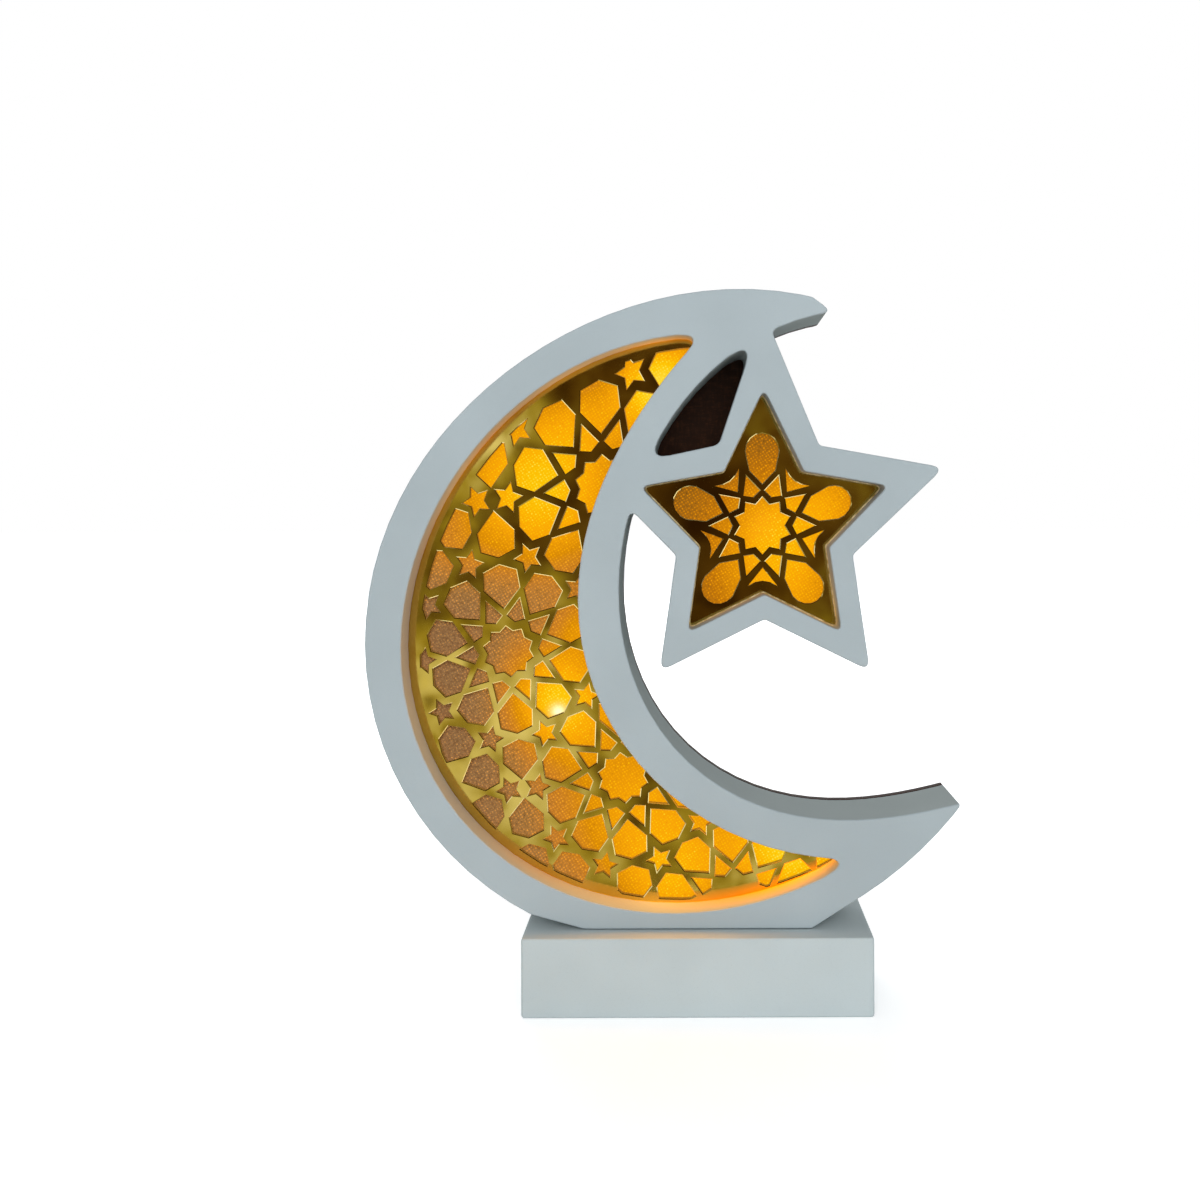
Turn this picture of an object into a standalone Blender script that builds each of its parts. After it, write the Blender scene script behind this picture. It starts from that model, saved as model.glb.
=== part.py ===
"""Lit star and moon table sign.

A routed board in the outline of a crescent moon with a five-pointed star in its
hollow stands on a block base. Behind the windows of the moon and of the star lie
a cut mirror fretwork panel, a woven diffuser and a string of small lamps, closed
by a thin back board that carries the battery box.

Lengths are metres, +Z is up and the sign faces -Y. The origin is the middle of
the base block's underside. Outlines are drawn on the face as (x, z) points.
"""
import math
from collections import namedtuple

import bmesh
import bpy
import numpy as np
from mathutils import Matrix, Vector, geometry

MM = 0.001

# Clearances
CUT_OVER = 1.0 * MM
SEAT_GAP = 0.3 * MM
SCREW_GAP = 0.25 * MM
DOOR_GAP = 0.3 * MM

# Base block
BASE_WIDTH = 113.0 * MM
BASE_DEPTH = 46.0 * MM
BASE_HEIGHT = 25.4 * MM
BASE_EDGE = 0.8 * MM

# Board of the moon and star
BOARD_DEPTH = 27.0 * MM
BACK_BOARD_DEPTH = 3.0 * MM
LIP_DEPTH = 10.5 * MM
REBATE = 2.0 * MM
CORNER_RADIUS = 2.2 * MM
WINDOW_CORNER_RADIUS = 1.6 * MM
WINDOW_TIP_RADIUS = 3.4 * MM

LEAF_RADIUS = 3.6 * MM

# Crescent: four egg-shaped rounds, each about its own centre
MOON_RADIUS = 108.4 * MM
MOON_FLAT = 6.8 * MM
RIM_WIDTH = 12.8 * MM
HOLLOW_RADIUS = 87.6 * MM
BAND_WIDTH = 6.2 * MM
MOON_X = 2.2 * MM
WINDOW_OFFSET = (-1.9 * MM, -2.1 * MM)
HOLLOW_OFFSET = (62.3 * MM, 16.1 * MM)
WINDOW_HOLLOW_OFFSET = (50.6 * MM, 19.7 * MM)
FOOT_LEFT = -37.0 * MM
FOOT_RIGHT = 37.3 * MM
HEEL_SLOPE = math.radians(-15.5)
TOE_SLOPE = math.radians(32.4)
TOE_LENGTH = 20.0 * MM
UPPER_HORN_END = (35.6 * MM, 105.1 * MM)
UPPER_HORN_SLOPE = math.radians(-37.0)
LOWER_HORN_X = 83.4 * MM
CURVE_STEPS = 84

# Star
STAR_OFFSET = (20.0 * MM, 30.0 * MM)
STAR_TIP = 58.4 * MM
STAR_TOP_TIP = 70.1 * MM
STAR_RIGHT_TIP = 61.8 * MM
STAR_NOTCH = 30.3 * MM
TOP_ARM_LEFT = (-14.7 * MM, 26.7 * MM)
TOP_ARM_RIGHT = (18.0 * MM, 26.4 * MM)
STAR_WINDOW_TIP = 42.6 * MM
STAR_WINDOW_TOP = 45.0 * MM
STAR_WINDOW_NOTCH = 22.2 * MM

# Panels behind the windows
FRET_THICKNESS = 2.0 * MM
DIFFUSER_THICKNESS = 1.0 * MM
FRET_MARGIN = 2.2 * MM
FRET_SHIFT = (1.6 * MM, -1.0 * MM)
SMALLEST_CELL = 5.0 * MM * MM
SMALLEST_SHARE = 0.22

# Rosette pattern of the fretwork
ROSETTE_STEP = 57.0 * MM
ROSETTE_TURN = math.radians(24.0)
ROSETTE_OFFSET = (-65.1 * MM, -11.8 * MM)
ROSETTE_SWELL = 2.4
STAR10_TIP = 8.4 * MM
STAR10_NOTCH = 6.9 * MM
KITE_TIP = 17.6 * MM
KITE_SIDE = 11.9 * MM
KITE_SIDE_ANGLE = math.radians(14.0)
KITE_INNER = 10.1 * MM
PETAL_TIP = 14.1 * MM
PETAL_SHOULDER = (20.0 * MM, 5.7 * MM)
PETAL_CORNER = (25.4 * MM, 5.2 * MM)
PETAL_END = 27.4 * MM
STAR5_TIP = 4.3 * MM
STAR5_RIB = 0.8 * MM
STAR5_NOTCH = 2.1 * MM
STAR_PANEL_TIP = 9.6 * MM
STAR_PANEL_NOTCH = 7.4 * MM
ARM_PETAL_WIDE = (25.0 * MM, 5.6 * MM)
ARM_PETAL_SHOULDER = (18.6 * MM, 4.3 * MM)
ARM_PETAL_END = 31.0 * MM
NOTCH_CELL_SIDE = 20.8 * MM
NOTCH_CELL_ANGLE = math.radians(14.0)
NOTCH_CELL_BOW = 18.4 * MM

# Lamp string
LAMP_RADIUS = 2.2 * MM
LAMP_LENGTH = 3.1 * MM
WIRE_RADIUS = 0.45 * MM
LEAD_RADIUS = 0.8 * MM
MOON_LAMPS = 8
MOON_LAMP_START = math.radians(144.2)
MOON_LAMP_END = math.radians(255.2)
LAMP_INSET_END = 7.5 * MM
LAMP_INSET_MIDDLE = 16.2 * MM
STAR_LAMPS = 5
STAR_LAMP_RING = 15.0 * MM
WIRE_CHANNEL = 3.0 * MM
CHANNEL_START = 34.6 * MM
CHANNEL_LENGTH = 24.6 * MM

# Screws
BOARD_SCREW_RADIUS = 1.25 * MM
BOARD_SCREW_HEAD = 2.5 * MM
BOARD_SCREW_LENGTH = 10.0 * MM
RIM_SCREWS = 5
RIM_SCREW_START = math.radians(79.0)
RIM_SCREW_END = math.radians(229.0)
HORN_SCREW = math.radians(317.0)
STAR_SCREW_REACH = 49.8 * MM
BASE_SCREW_RADIUS = 1.75 * MM
BASE_SCREW_HEAD = 3.7 * MM
BASE_HEAD_THICKNESS = 2.4 * MM
BASE_SCREW_SPACING = 66.0 * MM
BASE_SCREW_BITE = 4.8 * MM
COUNTERBORE_RADIUS = 4.3 * MM
COUNTERBORE_DEPTH = 12.0 * MM

# Battery box on the back board
CELL_RADIUS = 5.15 * MM
CELL_LENGTH = 44.5 * MM
CELL_BUTTON = (1.9 * MM, 1.0 * MM)
CELL_EDGE = 0.5 * MM
CELL_GAP = 0.3 * MM
CONTACT_ROOM = 5.0 * MM
BOX_WALL = 1.8 * MM
BOX_EDGE = 0.7 * MM
BOX_DIVIDER = 1.5 * MM
SWITCH_BAY = 9.4 * MM
BOX_OFFSET = (-24.2 * MM, -76.7 * MM)
DOOR_THICKNESS = 1.6 * MM
DOOR_TONGUE = 0.6 * MM
DOOR_TONGUE_THICKNESS = 0.7 * MM
GRIP_RIBS = 4
GRIP_RIB = (0.8 * MM, 0.5 * MM, 11.0 * MM)
GRIP_START = 3.0 * MM
GRIP_STEP = 2.0 * MM
EAR_LENGTH = 7.0 * MM
EAR_THICKNESS = 2.0 * MM
EAR_HOLE_RADIUS = 1.6 * MM
BOX_SCREW_RADIUS = 1.3 * MM
BOX_SCREW_LENGTH = 4.6 * MM
BOX_HEAD_THICKNESS = 1.4 * MM
CONTACT_THICKNESS = 0.5 * MM
SPRING_WIRE = 0.3 * MM
SPRING_SMALL = 2.0 * MM
SPRING_LARGE = 3.6 * MM
SPRING_TURNS = 3
SWITCH_BODY = (4.2 * MM, 3.6 * MM, 8.6 * MM)
SWITCH_STEM = (1.5 * MM, 2.0 * MM)
SWITCH_TRAVEL = 2.0 * MM
SWITCH_TROUGH = 1.8 * MM
SWITCH_ROOF = 1.4 * MM
SWITCH_STANDS_OUT = 1.5 * MM

# Planes from front to back
BOARD_FRONT = -(BOARD_DEPTH + BACK_BOARD_DEPTH) / 2
BOARD_BACK = BOARD_FRONT + BOARD_DEPTH
FRET_FRONT = BOARD_FRONT + LIP_DEPTH + SEAT_GAP
FRET_BACK = FRET_FRONT + FRET_THICKNESS
DIFFUSER_FRONT = FRET_BACK + SEAT_GAP
DIFFUSER_BACK = DIFFUSER_FRONT + DIFFUSER_THICKNESS
BACK_BOARD_FRONT = BOARD_BACK + SEAT_GAP
BACK_BOARD_BACK = BACK_BOARD_FRONT + BACK_BOARD_DEPTH
WIRE_Y = BACK_BOARD_FRONT - SEAT_GAP - WIRE_RADIUS
LAMP_Y = WIRE_Y - WIRE_RADIUS - SEAT_GAP - LAMP_RADIUS

Oval = namedtuple("Oval", "centre radius oval oval_turn egg egg_turn")


def reach(shape, angle, grow=0.0):
    """Distance from a round's centre to its edge: a circle drawn out along one line
    by the oval share, and fuller towards three sides by the egg share."""
    swell = 1 + shape.oval * np.cos(2 * (angle - shape.oval_turn))
    swell = swell + shape.egg * np.cos(3 * (angle - shape.egg_turn))
    return (shape.radius + grow) * swell


def on_oval(shape, angle, grow=0.0):
    """Point or points of a round's edge at an angle."""
    far = reach(shape, angle, grow)
    return np.stack((shape.centre[0] + far * np.cos(angle),
                     shape.centre[1] + far * np.sin(angle)), axis=-1)


def oval_outline(shape, grow=0.0):
    """A round as a closed outline."""
    angle = np.linspace(0, 2 * math.pi, CURVE_STEPS, endpoint=False)
    return on_oval(shape, angle, grow)


# Centres, tied to the base's top
FOOT_Z = BASE_HEIGHT + SEAT_GAP
MOON_SHAPE = dict(oval=0.047, oval_turn=math.radians(38.9), egg=0.007, egg_turn=math.radians(47.7))
MOON_LOW = reach(Oval((0, 0), MOON_RADIUS, **MOON_SHAPE), math.radians(-90.0))
MOON_CENTRE = (MOON_X, FOOT_Z + MOON_LOW - MOON_FLAT)


def from_moon(offset):
    """A place on the face, counted from the middle of the moon."""
    return (MOON_CENTRE[0] + offset[0], MOON_CENTRE[1] + offset[1])


MOON = Oval(MOON_CENTRE, MOON_RADIUS, **MOON_SHAPE)
HOLLOW = Oval(from_moon(HOLLOW_OFFSET), HOLLOW_RADIUS, 0.058, math.radians(4.1),
              0.041, math.radians(109.9))
WINDOW = Oval(from_moon(WINDOW_OFFSET), MOON_RADIUS - RIM_WIDTH, 0.032, math.radians(32.5),
              0.010, math.radians(101.2))
WINDOW_HOLLOW = Oval(from_moon(WINDOW_HOLLOW_OFFSET), HOLLOW_RADIUS + BAND_WIDTH,
                     0.080, math.radians(68.6), 0.0265, math.radians(69.9))
STAR_CENTRE = from_moon(STAR_OFFSET)
BOX_CENTRE = from_moon(BOX_OFFSET)


def polar(centre, radius, angle):
    """A point at a distance and an angle from a centre."""
    return (centre[0] + radius * math.cos(angle), centre[1] + radius * math.sin(angle))


def star_outline(centre, tip, notch, points=5, turn=math.pi / 2, longer=None):
    """A star's outline, tips and notches in turn. Longer gives single arms another reach."""
    outline = []
    for index in range(points):
        angle = turn + 2 * math.pi * index / points
        outline.append(polar(centre, (longer or {}).get(index, tip), angle))
        outline.append(polar(centre, notch, angle + math.pi / points))
    return np.array(outline)


def rounded(outline, radius, sharpest=22.0, steps=4):
    """Rounds each corner that turns by more than the given angle, in degrees."""
    count = len(outline)
    ahead = np.roll(outline, -1, axis=0) - outline
    length = np.linalg.norm(ahead, axis=1)
    before = np.roll(ahead, 1, axis=0)
    cross = before[:, 0] * ahead[:, 1] - before[:, 1] * ahead[:, 0]
    turn = np.arctan2(cross, (before * ahead).sum(axis=1))
    corners = [index for index in range(count) if abs(turn[index]) > math.radians(sharpest)]
    if not corners:
        return outline

    def walk(start, step, distance):
        """The point a distance along the outline from a corner, and how many points it passes."""
        index, left, passed = start, distance, 0
        while True:
            edge = index if step > 0 else (index - 1) % count
            if left <= length[edge]:
                share = left / length[edge]
                after = (index + step) % count
                return outline[index] * (1 - share) + outline[after] * share, passed
            left -= length[edge]
            index = (index + step) % count
            passed += 1

    room = {}
    for place, index in enumerate(corners):
        following = corners[(place + 1) % len(corners)]
        span = 0.0
        at = index
        while True:
            span += length[at]
            at = (at + 1) % count
            if at == following:
                break
        room[(index, following)] = span
    dropped = set()
    arcs = {}
    for place, index in enumerate(corners):
        before_room = room[(corners[place - 1], index)]
        after_room = room[(index, corners[(place + 1) % len(corners)])]
        distance = radius * math.tan(abs(turn[index]) / 2)
        distance = min(distance, 0.45 * before_room, 0.45 * after_room)
        start, passed_back = walk(index, -1, distance)
        end, passed_on = walk(index, 1, distance)
        dropped.update((index - back) % count for back in range(passed_back + 1))
        dropped.update((index + on) % count for on in range(passed_on + 1))
        share = np.linspace(0, 1, steps + 1)[:, None]
        arcs[index] = ((1 - share) ** 2 * start + 2 * share * (1 - share) * outline[index]
                       + share ** 2 * end)
    result = []
    for index in range(count):
        if index in arcs:
            result.extend(arcs[index])
        elif index not in dropped:
            result.append(outline[index])
    return np.array(result)


def triangles(outlines, keep):
    """Triangulates overlapping outlines and keeps those triangles whose set of
    containing outlines passes the rule."""
    points = []
    faces = []
    for outline in outlines:
        first = len(points)
        turned_left = outline if area(outline) > 0 else outline[::-1]
        points.extend(Vector((float(x), float(z))) for x, z in turned_left)
        faces.append(list(range(first, len(points))))
    made = geometry.delaunay_2d_cdt(points, [], faces, 1, 1e-7, True)
    kept = [face for face, inside in zip(made[2], made[5]) if keep(set(inside))]
    return made[0], kept


def loops_of(outlines, keep):
    """Boundary loops of the kept region, each counterclockwise round its material."""
    points, kept = triangles(outlines, keep)
    edges = set()
    for face in kept:
        for start, end in zip(face, face[1:] + face[:1]):
            if (end, start) in edges:
                edges.remove((end, start))
            else:
                edges.add((start, end))
    follow = {}
    for start, end in sorted(edges):
        follow.setdefault(start, []).append(end)
    loops = []
    while follow:
        start = min(follow)
        loop = [start]
        at = follow[start].pop()
        while at != start:
            loop.append(at)
            at = follow[at].pop()
        follow = {key: value for key, value in follow.items() if value}
        loops.append(np.array([tuple(points[index]) for index in loop]))
    return loops


def without_short_edges(loop, shortest=0.05 * MM):
    """Drops points that lie closer to the last one than the shortest edge."""
    result = [loop[0]]
    for point in loop[1:]:
        if np.linalg.norm(point - result[-1]) > shortest:
            result.append(point)
    if len(result) > 1 and np.linalg.norm(result[0] - result[-1]) <= shortest:
        result.pop()
    return np.array(result).reshape(-1, 2)


def area(loop):
    """Signed area inside a loop."""
    x, z = loop[:, 0], loop[:, 1]
    return 0.5 * float(np.sum(x * np.roll(z, -1) - np.roll(x, -1) * z))


def clear_scene():
    """Empties the scene."""
    for thing in list(bpy.data.objects):
        bpy.data.objects.remove(thing, do_unlink=True)


def material(name, colour, roughness, metallic=0.0):
    """A plain surface finish."""
    finish = bpy.data.materials.get(name)
    if finish is None:
        finish = bpy.data.materials.new(name)
        finish.use_nodes = True
        shader = finish.node_tree.nodes["Principled BSDF"]
        shader.inputs["Base Color"].default_value = (*colour, 1.0)
        shader.inputs["Roughness"].default_value = roughness
        shader.inputs["Metallic"].default_value = metallic
    return finish


def add_object(name, mesh, finish=None):
    """Links a mesh into the scene as a named piece."""
    thing = bpy.data.objects.new(name, mesh)
    bpy.context.scene.collection.objects.link(thing)
    if finish is not None:
        mesh.materials.append(finish)
    return thing


def from_bmesh(name, shape, finish=None):
    """Turns a bmesh into a piece with its faces pointing out."""
    bmesh.ops.recalc_face_normals(shape, faces=shape.faces)
    mesh = bpy.data.meshes.new(name)
    shape.to_mesh(mesh)
    shape.free()
    return add_object(name, mesh, finish)


def stepped(name, walls, floors, finish=None):
    """A solid of straight walls, each a loop with its front and back, and of flat
    floors, each a set of loops on one plane."""
    shape = bmesh.new()
    for loop, front, back in walls:
        near = [shape.verts.new((x, front, z)) for x, z in loop]
        far = [shape.verts.new((x, back, z)) for x, z in loop]
        for index in range(len(loop)):
            shape.faces.new((near[index - 1], near[index], far[index], far[index - 1]))
    for loops, level in floors:
        points, kept = triangles(loops, lambda inside: len(inside) % 2 == 1)
        vertex = [shape.verts.new((x, level, z)) for x, z in points]
        for face in kept:
            shape.faces.new([vertex[index] for index in face])
    bmesh.ops.remove_doubles(shape, verts=shape.verts, dist=0.001 * MM)
    return from_bmesh(name, shape, finish)


def plate(name, loops, front, back, finish=None):
    """A flat plate: outer loops and holes, filled and drawn from front to back."""
    walls = [(loop, front, back) for loop in loops]
    return stepped(name, walls, [(loops, front), (loops, back)], finish)


def box(name, low, high, finish=None):
    """A rectangular block between two corners."""
    shape = bmesh.new()
    bmesh.ops.create_cube(shape, size=1.0)
    size = [high[axis] - low[axis] for axis in range(3)]
    middle = [(high[axis] + low[axis]) / 2 for axis in range(3)]
    bmesh.ops.transform(shape, matrix=Matrix.Translation(middle) @ Matrix.Diagonal((*size, 1.0)),
                        verts=shape.verts)
    return from_bmesh(name, shape, finish)


def turned(name, profiles, finish=None, sides=12):
    """Round pieces turned from (radius, height) profiles. Each entry is a profile,
    its foot point and its direction; all share one object as separate solids."""
    shape = bmesh.new()
    for profile, foot, direction in profiles:
        turn = Vector((0, 0, 1)).rotation_difference(Vector(direction)).to_matrix().to_4x4()
        place = Matrix.Translation(foot) @ turn
        rings = []
        for radius, height in profile:
            if radius < 1e-9:
                rings.append([shape.verts.new(place @ Vector((0, 0, height)))])
                continue
            ring = []
            for index in range(sides):
                angle = 2 * math.pi * index / sides
                spot = Vector((radius * math.cos(angle), radius * math.sin(angle), height))
                ring.append(shape.verts.new(place @ spot))
            rings.append(ring)
        for lower, upper in zip(rings, rings[1:]):
            for index in range(sides):
                after = (index + 1) % sides
                corners = [lower[index % len(lower)], lower[after % len(lower)],
                           upper[after % len(upper)], upper[index % len(upper)]]
                corners = list(dict.fromkeys(corners))
                if len(corners) > 2:
                    shape.faces.new(corners)
        for ring in (rings[0], rings[-1]):
            if len(ring) > 1:
                shape.faces.new(ring)
    thing = from_bmesh(name, shape, finish)
    thing.data.shade_smooth()
    thing.data.set_sharp_from_angle(angle=math.radians(35))
    return thing


def tube(name, runs, radius, finish=None, resolution=1):
    """Wire of round section along each run of points, with closed ends."""
    curve = bpy.data.curves.new(name, "CURVE")
    curve.dimensions = "3D"
    curve.bevel_depth = radius
    curve.bevel_resolution = resolution
    curve.use_fill_caps = True
    for run in runs:
        spline = curve.splines.new("POLY")
        spline.points.add(len(run) - 1)
        for point, place in zip(spline.points, run):
            point.co = (*place, 1.0)
    thing = bpy.data.objects.new(name, curve)
    bpy.context.scene.collection.objects.link(thing)
    if finish is not None:
        curve.materials.append(finish)
    return thing


def join(name, pieces, finish=None):
    """Puts the meshes of several pieces into one object as separate solids."""
    shape = bmesh.new()
    for piece in pieces:
        shape.from_mesh(piece.data)
        bpy.data.objects.remove(piece, do_unlink=True)
    mesh = bpy.data.meshes.new(name)
    shape.to_mesh(mesh)
    shape.free()
    return add_object(name, mesh, finish)


def set_origin(thing, place):
    """Moves a piece's origin without moving the piece."""
    thing.data.transform(Matrix.Translation(-Vector(place)))
    thing.location = place


def boolean(target, cutter, operation="DIFFERENCE"):
    """Cuts or joins one piece with a hidden guide piece."""
    change = target.modifiers.new(cutter.name, "BOOLEAN")
    change.operation = operation
    change.object = cutter
    change.solver = "EXACT"
    cutter.hide_render = True
    cutter.display_type = "WIRE"


def smooth_run(route, steps=4):
    """A smooth curve through route points (Catmull-Rom), sampled evenly per stretch."""
    route = np.array(route, dtype=float)
    padded = np.vstack((2 * route[0] - route[1], route, 2 * route[-1] - route[-2]))
    run = []
    for index in range(1, len(padded) - 2):
        p0, p1, p2, p3 = padded[index - 1:index + 3]
        for share in np.linspace(0, 1, steps, endpoint=False):
            run.append(0.5 * (2 * p1 + (p2 - p0) * share
                              + (2 * p0 - 5 * p1 + 4 * p2 - p3) * share ** 2
                              + (3 * p1 - p0 - 3 * p2 + p3) * share ** 3))
    run.append(padded[-2])
    return run


# Outlines of the board


def half_plane(corner, slope, size=2.0):
    """A large square whose lower edge starts the cut-away side of a slanted line."""
    along = np.array((math.cos(slope), math.sin(slope)))
    up = np.array((-along[1], along[0]))
    corner = np.array(corner)
    return np.array((corner - size * along, corner + size * along,
                     corner + size * (along + up), corner + size * (up - along)))


def board_outlines():
    """Outline loops of the crescent and star together, with the leaf-shaped gap
    between them, but without the windows."""
    star = star_outline(STAR_CENTRE, STAR_TIP, STAR_NOTCH, longer={0: STAR_TOP_TIP, 4: STAR_RIGHT_TIP})
    star[1] = np.add(STAR_CENTRE, TOP_ARM_LEFT)
    star[9] = np.add(STAR_CENTRE, TOP_ARM_RIGHT)
    below = half_plane((0.0, FOOT_Z), math.pi)
    heel = half_plane((FOOT_LEFT, FOOT_Z), math.pi + HEEL_SLOPE)
    upper_end = half_plane(from_moon(UPPER_HORN_END), UPPER_HORN_SLOPE)
    lower_end = half_plane(from_moon((LOWER_HORN_X, 0.0)), math.radians(-90.0))
    toe = np.array(((FOOT_RIGHT, FOOT_Z), polar((FOOT_RIGHT, FOOT_Z), TOE_LENGTH, TOE_SLOPE),
                    (0.0, FOOT_Z + MOON_FLAT)))
    outlines = [oval_outline(MOON), oval_outline(HOLLOW), star, below, heel, upper_end, lower_end,
                toe]

    def solid(inside):
        crescent = 0 in inside and 1 not in inside and not inside & {3, 4, 5, 6}
        arm = 2 in inside and (0 in inside or 1 in inside)
        return crescent or arm or 7 in inside and 3 not in inside

    loops = [without_short_edges(loop) for loop in loops_of(outlines, solid)]
    loops = sorted(loops, key=lambda loop: abs(area(loop)), reverse=True)
    return [rounded(loops[0], CORNER_RADIUS), rounded(loops[1], LEAF_RADIUS)]


def moon_window(grow=0.0):
    """Window of the moon, or its rebate where it is grown."""
    outlines = [oval_outline(WINDOW, grow), oval_outline(WINDOW_HOLLOW, -grow)]
    loops = loops_of(outlines, lambda inside: 0 in inside and 1 not in inside)
    widest = max(loops, key=lambda loop: abs(area(loop)))
    return rounded(without_short_edges(widest), WINDOW_TIP_RADIUS + max(grow, 0.0))


def star_window(grow=0.0):
    """Window of the star, or its rebate where it is grown. The sides move out by the
    growth, so the tips move by it over the sine of half a tip's angle."""
    tip = np.array(polar((0, 0), STAR_WINDOW_TIP, math.pi / 2))
    notch = np.array(polar((0, 0), STAR_WINDOW_NOTCH, math.pi / 2 - math.pi / 5))
    side = notch - tip
    apart = abs(tip[0] * side[1] - tip[1] * side[0]) / np.linalg.norm(side)
    larger = 1 + grow / apart
    outline = star_outline(STAR_CENTRE, STAR_WINDOW_TIP * larger, STAR_WINDOW_NOTCH * larger,
                           longer={0: STAR_WINDOW_TOP * larger})
    return rounded(outline, WINDOW_CORNER_RADIUS + max(grow, 0.0))


# Pattern of the fretwork


def swollen(points):
    """The rosettes are drawn larger towards the top of the moon."""
    anchor = np.array(from_moon(ROSETTE_OFFSET))
    away = np.asarray(points) - anchor
    return anchor + away * (1 + ROSETTE_SWELL * np.maximum(away[:, 1:2], 0.0))


def spoke(centre, angle, pairs):
    """Points given as (along, across) a spoke that leaves a centre at an angle."""
    along = np.array((math.cos(angle), math.sin(angle)))
    across = np.array((-along[1], along[0]))
    return np.array([np.array(centre) + near * along + aside * across for near, aside in pairs])


def petal(centre, angle):
    """Six-sided petal with its point towards the rosette."""
    near, near_half = PETAL_SHOULDER
    far, far_half = PETAL_CORNER
    return spoke(centre, angle, [(PETAL_TIP, 0), (near, -near_half), (far, -far_half),
                                 (PETAL_END, 0), (far, far_half), (near, near_half)])


def kite(centre, angle):
    """Small kite between two petals, with its long point outwards."""
    side = (KITE_SIDE * math.cos(KITE_SIDE_ANGLE), KITE_SIDE * math.sin(KITE_SIDE_ANGLE))
    return spoke(centre, angle, [(KITE_INNER, 0), (side[0], -side[1]), (KITE_TIP, 0), side])


def rosette_centres():
    """Lattice of rosette centres over the moon: two steps, 72 degrees apart."""
    anchor = np.array(from_moon(ROSETTE_OFFSET))
    first = ROSETTE_TURN - 2 * math.pi / 5
    second = ROSETTE_TURN - 4 * math.pi / 5
    step_a = ROSETTE_STEP * np.array((math.cos(first), math.sin(first)))
    step_b = ROSETTE_STEP * np.array((math.cos(second), math.sin(second)))
    return [anchor + a * step_a + b * step_b for a in range(-2, 4) for b in range(-3, 3)]


def moon_cells():
    """Every opening of the moon's fretwork, before it is trimmed to the window."""
    spread = math.pi / 10
    vertex_reach = ROSETTE_STEP / 2 / math.cos(spread)
    window = [oval_outline(WINDOW, REBATE * 2), oval_outline(WINDOW_HOLLOW)]
    cells = []
    small_stars = []
    facing = []
    for centre in rosette_centres():
        tenth = [ROSETTE_TURN + 2 * spread * index for index in range(10)]
        cells.append(star_outline(centre, STAR10_TIP, STAR10_NOTCH, 10, ROSETTE_TURN))
        middle = swollen([centre])[0]
        if contains(window[0], middle) and not contains(window[1], middle):
            cells.extend(kite(centre, angle + spread) for angle in tenth)
        cells.extend(petal(centre, angle) for angle in tenth)
        for angle in tenth[2::5]:
            mirror = np.array(polar(centre, ROSETTE_STEP, angle))
            cells.append(petal(mirror, angle + math.pi))
        for angle in tenth:
            spot = np.array(polar(centre, vertex_reach, angle + spread))
            if all(np.linalg.norm(spot - other) > STAR5_TIP for other in small_stars):
                small_stars.append(spot)
                facing.append(angle + spread + math.pi)
    for spot, turn in zip(apart(small_stars, 2 * STAR5_TIP + STAR5_RIB), facing):
        cells.append(star_outline(spot, STAR5_TIP, STAR5_NOTCH, 5, turn))
    return [swollen(cell) for cell in cells]


def apart(spots, distance):
    """Moves each pair of spots that lie too close to each other apart."""
    moved = [spot.copy() for spot in spots]
    for index, spot in enumerate(spots):
        for other in spots:
            gap = np.linalg.norm(spot - other)
            if 0 < gap < distance:
                moved[index] += (spot - other) / gap * (distance - gap) / 2
    return moved


def contains(outline, point):
    """Whether a point lies inside an outline (ray crossings)."""
    x, z = outline[:, 0], outline[:, 1]
    x2, z2 = np.roll(x, -1), np.roll(z, -1)
    crosses = (z > point[1]) != (z2 > point[1])
    height = np.where(crosses, z2 - z, 1.0)
    return bool(np.sum(crosses & (point[0] < x + (point[1] - z) * (x2 - x) / height)) % 2)


def moon_fret_loops():
    """Outline of the moon's fretwork panel and its cut openings. The cells keep a plain
    margin along the moon's rim and run to the window's edge along its hollow."""
    zone = moon_window_zone()
    loops = [moon_window(REBATE - SEAT_GAP)]
    for cell in moon_cells():
        for loop in loops_of([zone, cell], lambda inside: len(inside) == 2):
            loop = without_short_edges(loop, 0.2 * MM)
            whole = abs(area(cell))
            if abs(area(loop)) > max(SMALLEST_CELL, SMALLEST_SHARE * whole):
                loops.append(loop)
    return loops


def moon_window_zone():
    """The part of the panel that is cut into cells: the panel was drawn a little off to
    the lower right, so its plain margin is widest at the left."""
    rim = oval_outline(WINDOW, -FRET_MARGIN) + np.array(FRET_SHIFT)
    loops = loops_of([rim, moon_window()], lambda inside: len(inside) == 2)
    return max(loops, key=lambda loop: abs(area(loop)))


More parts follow.
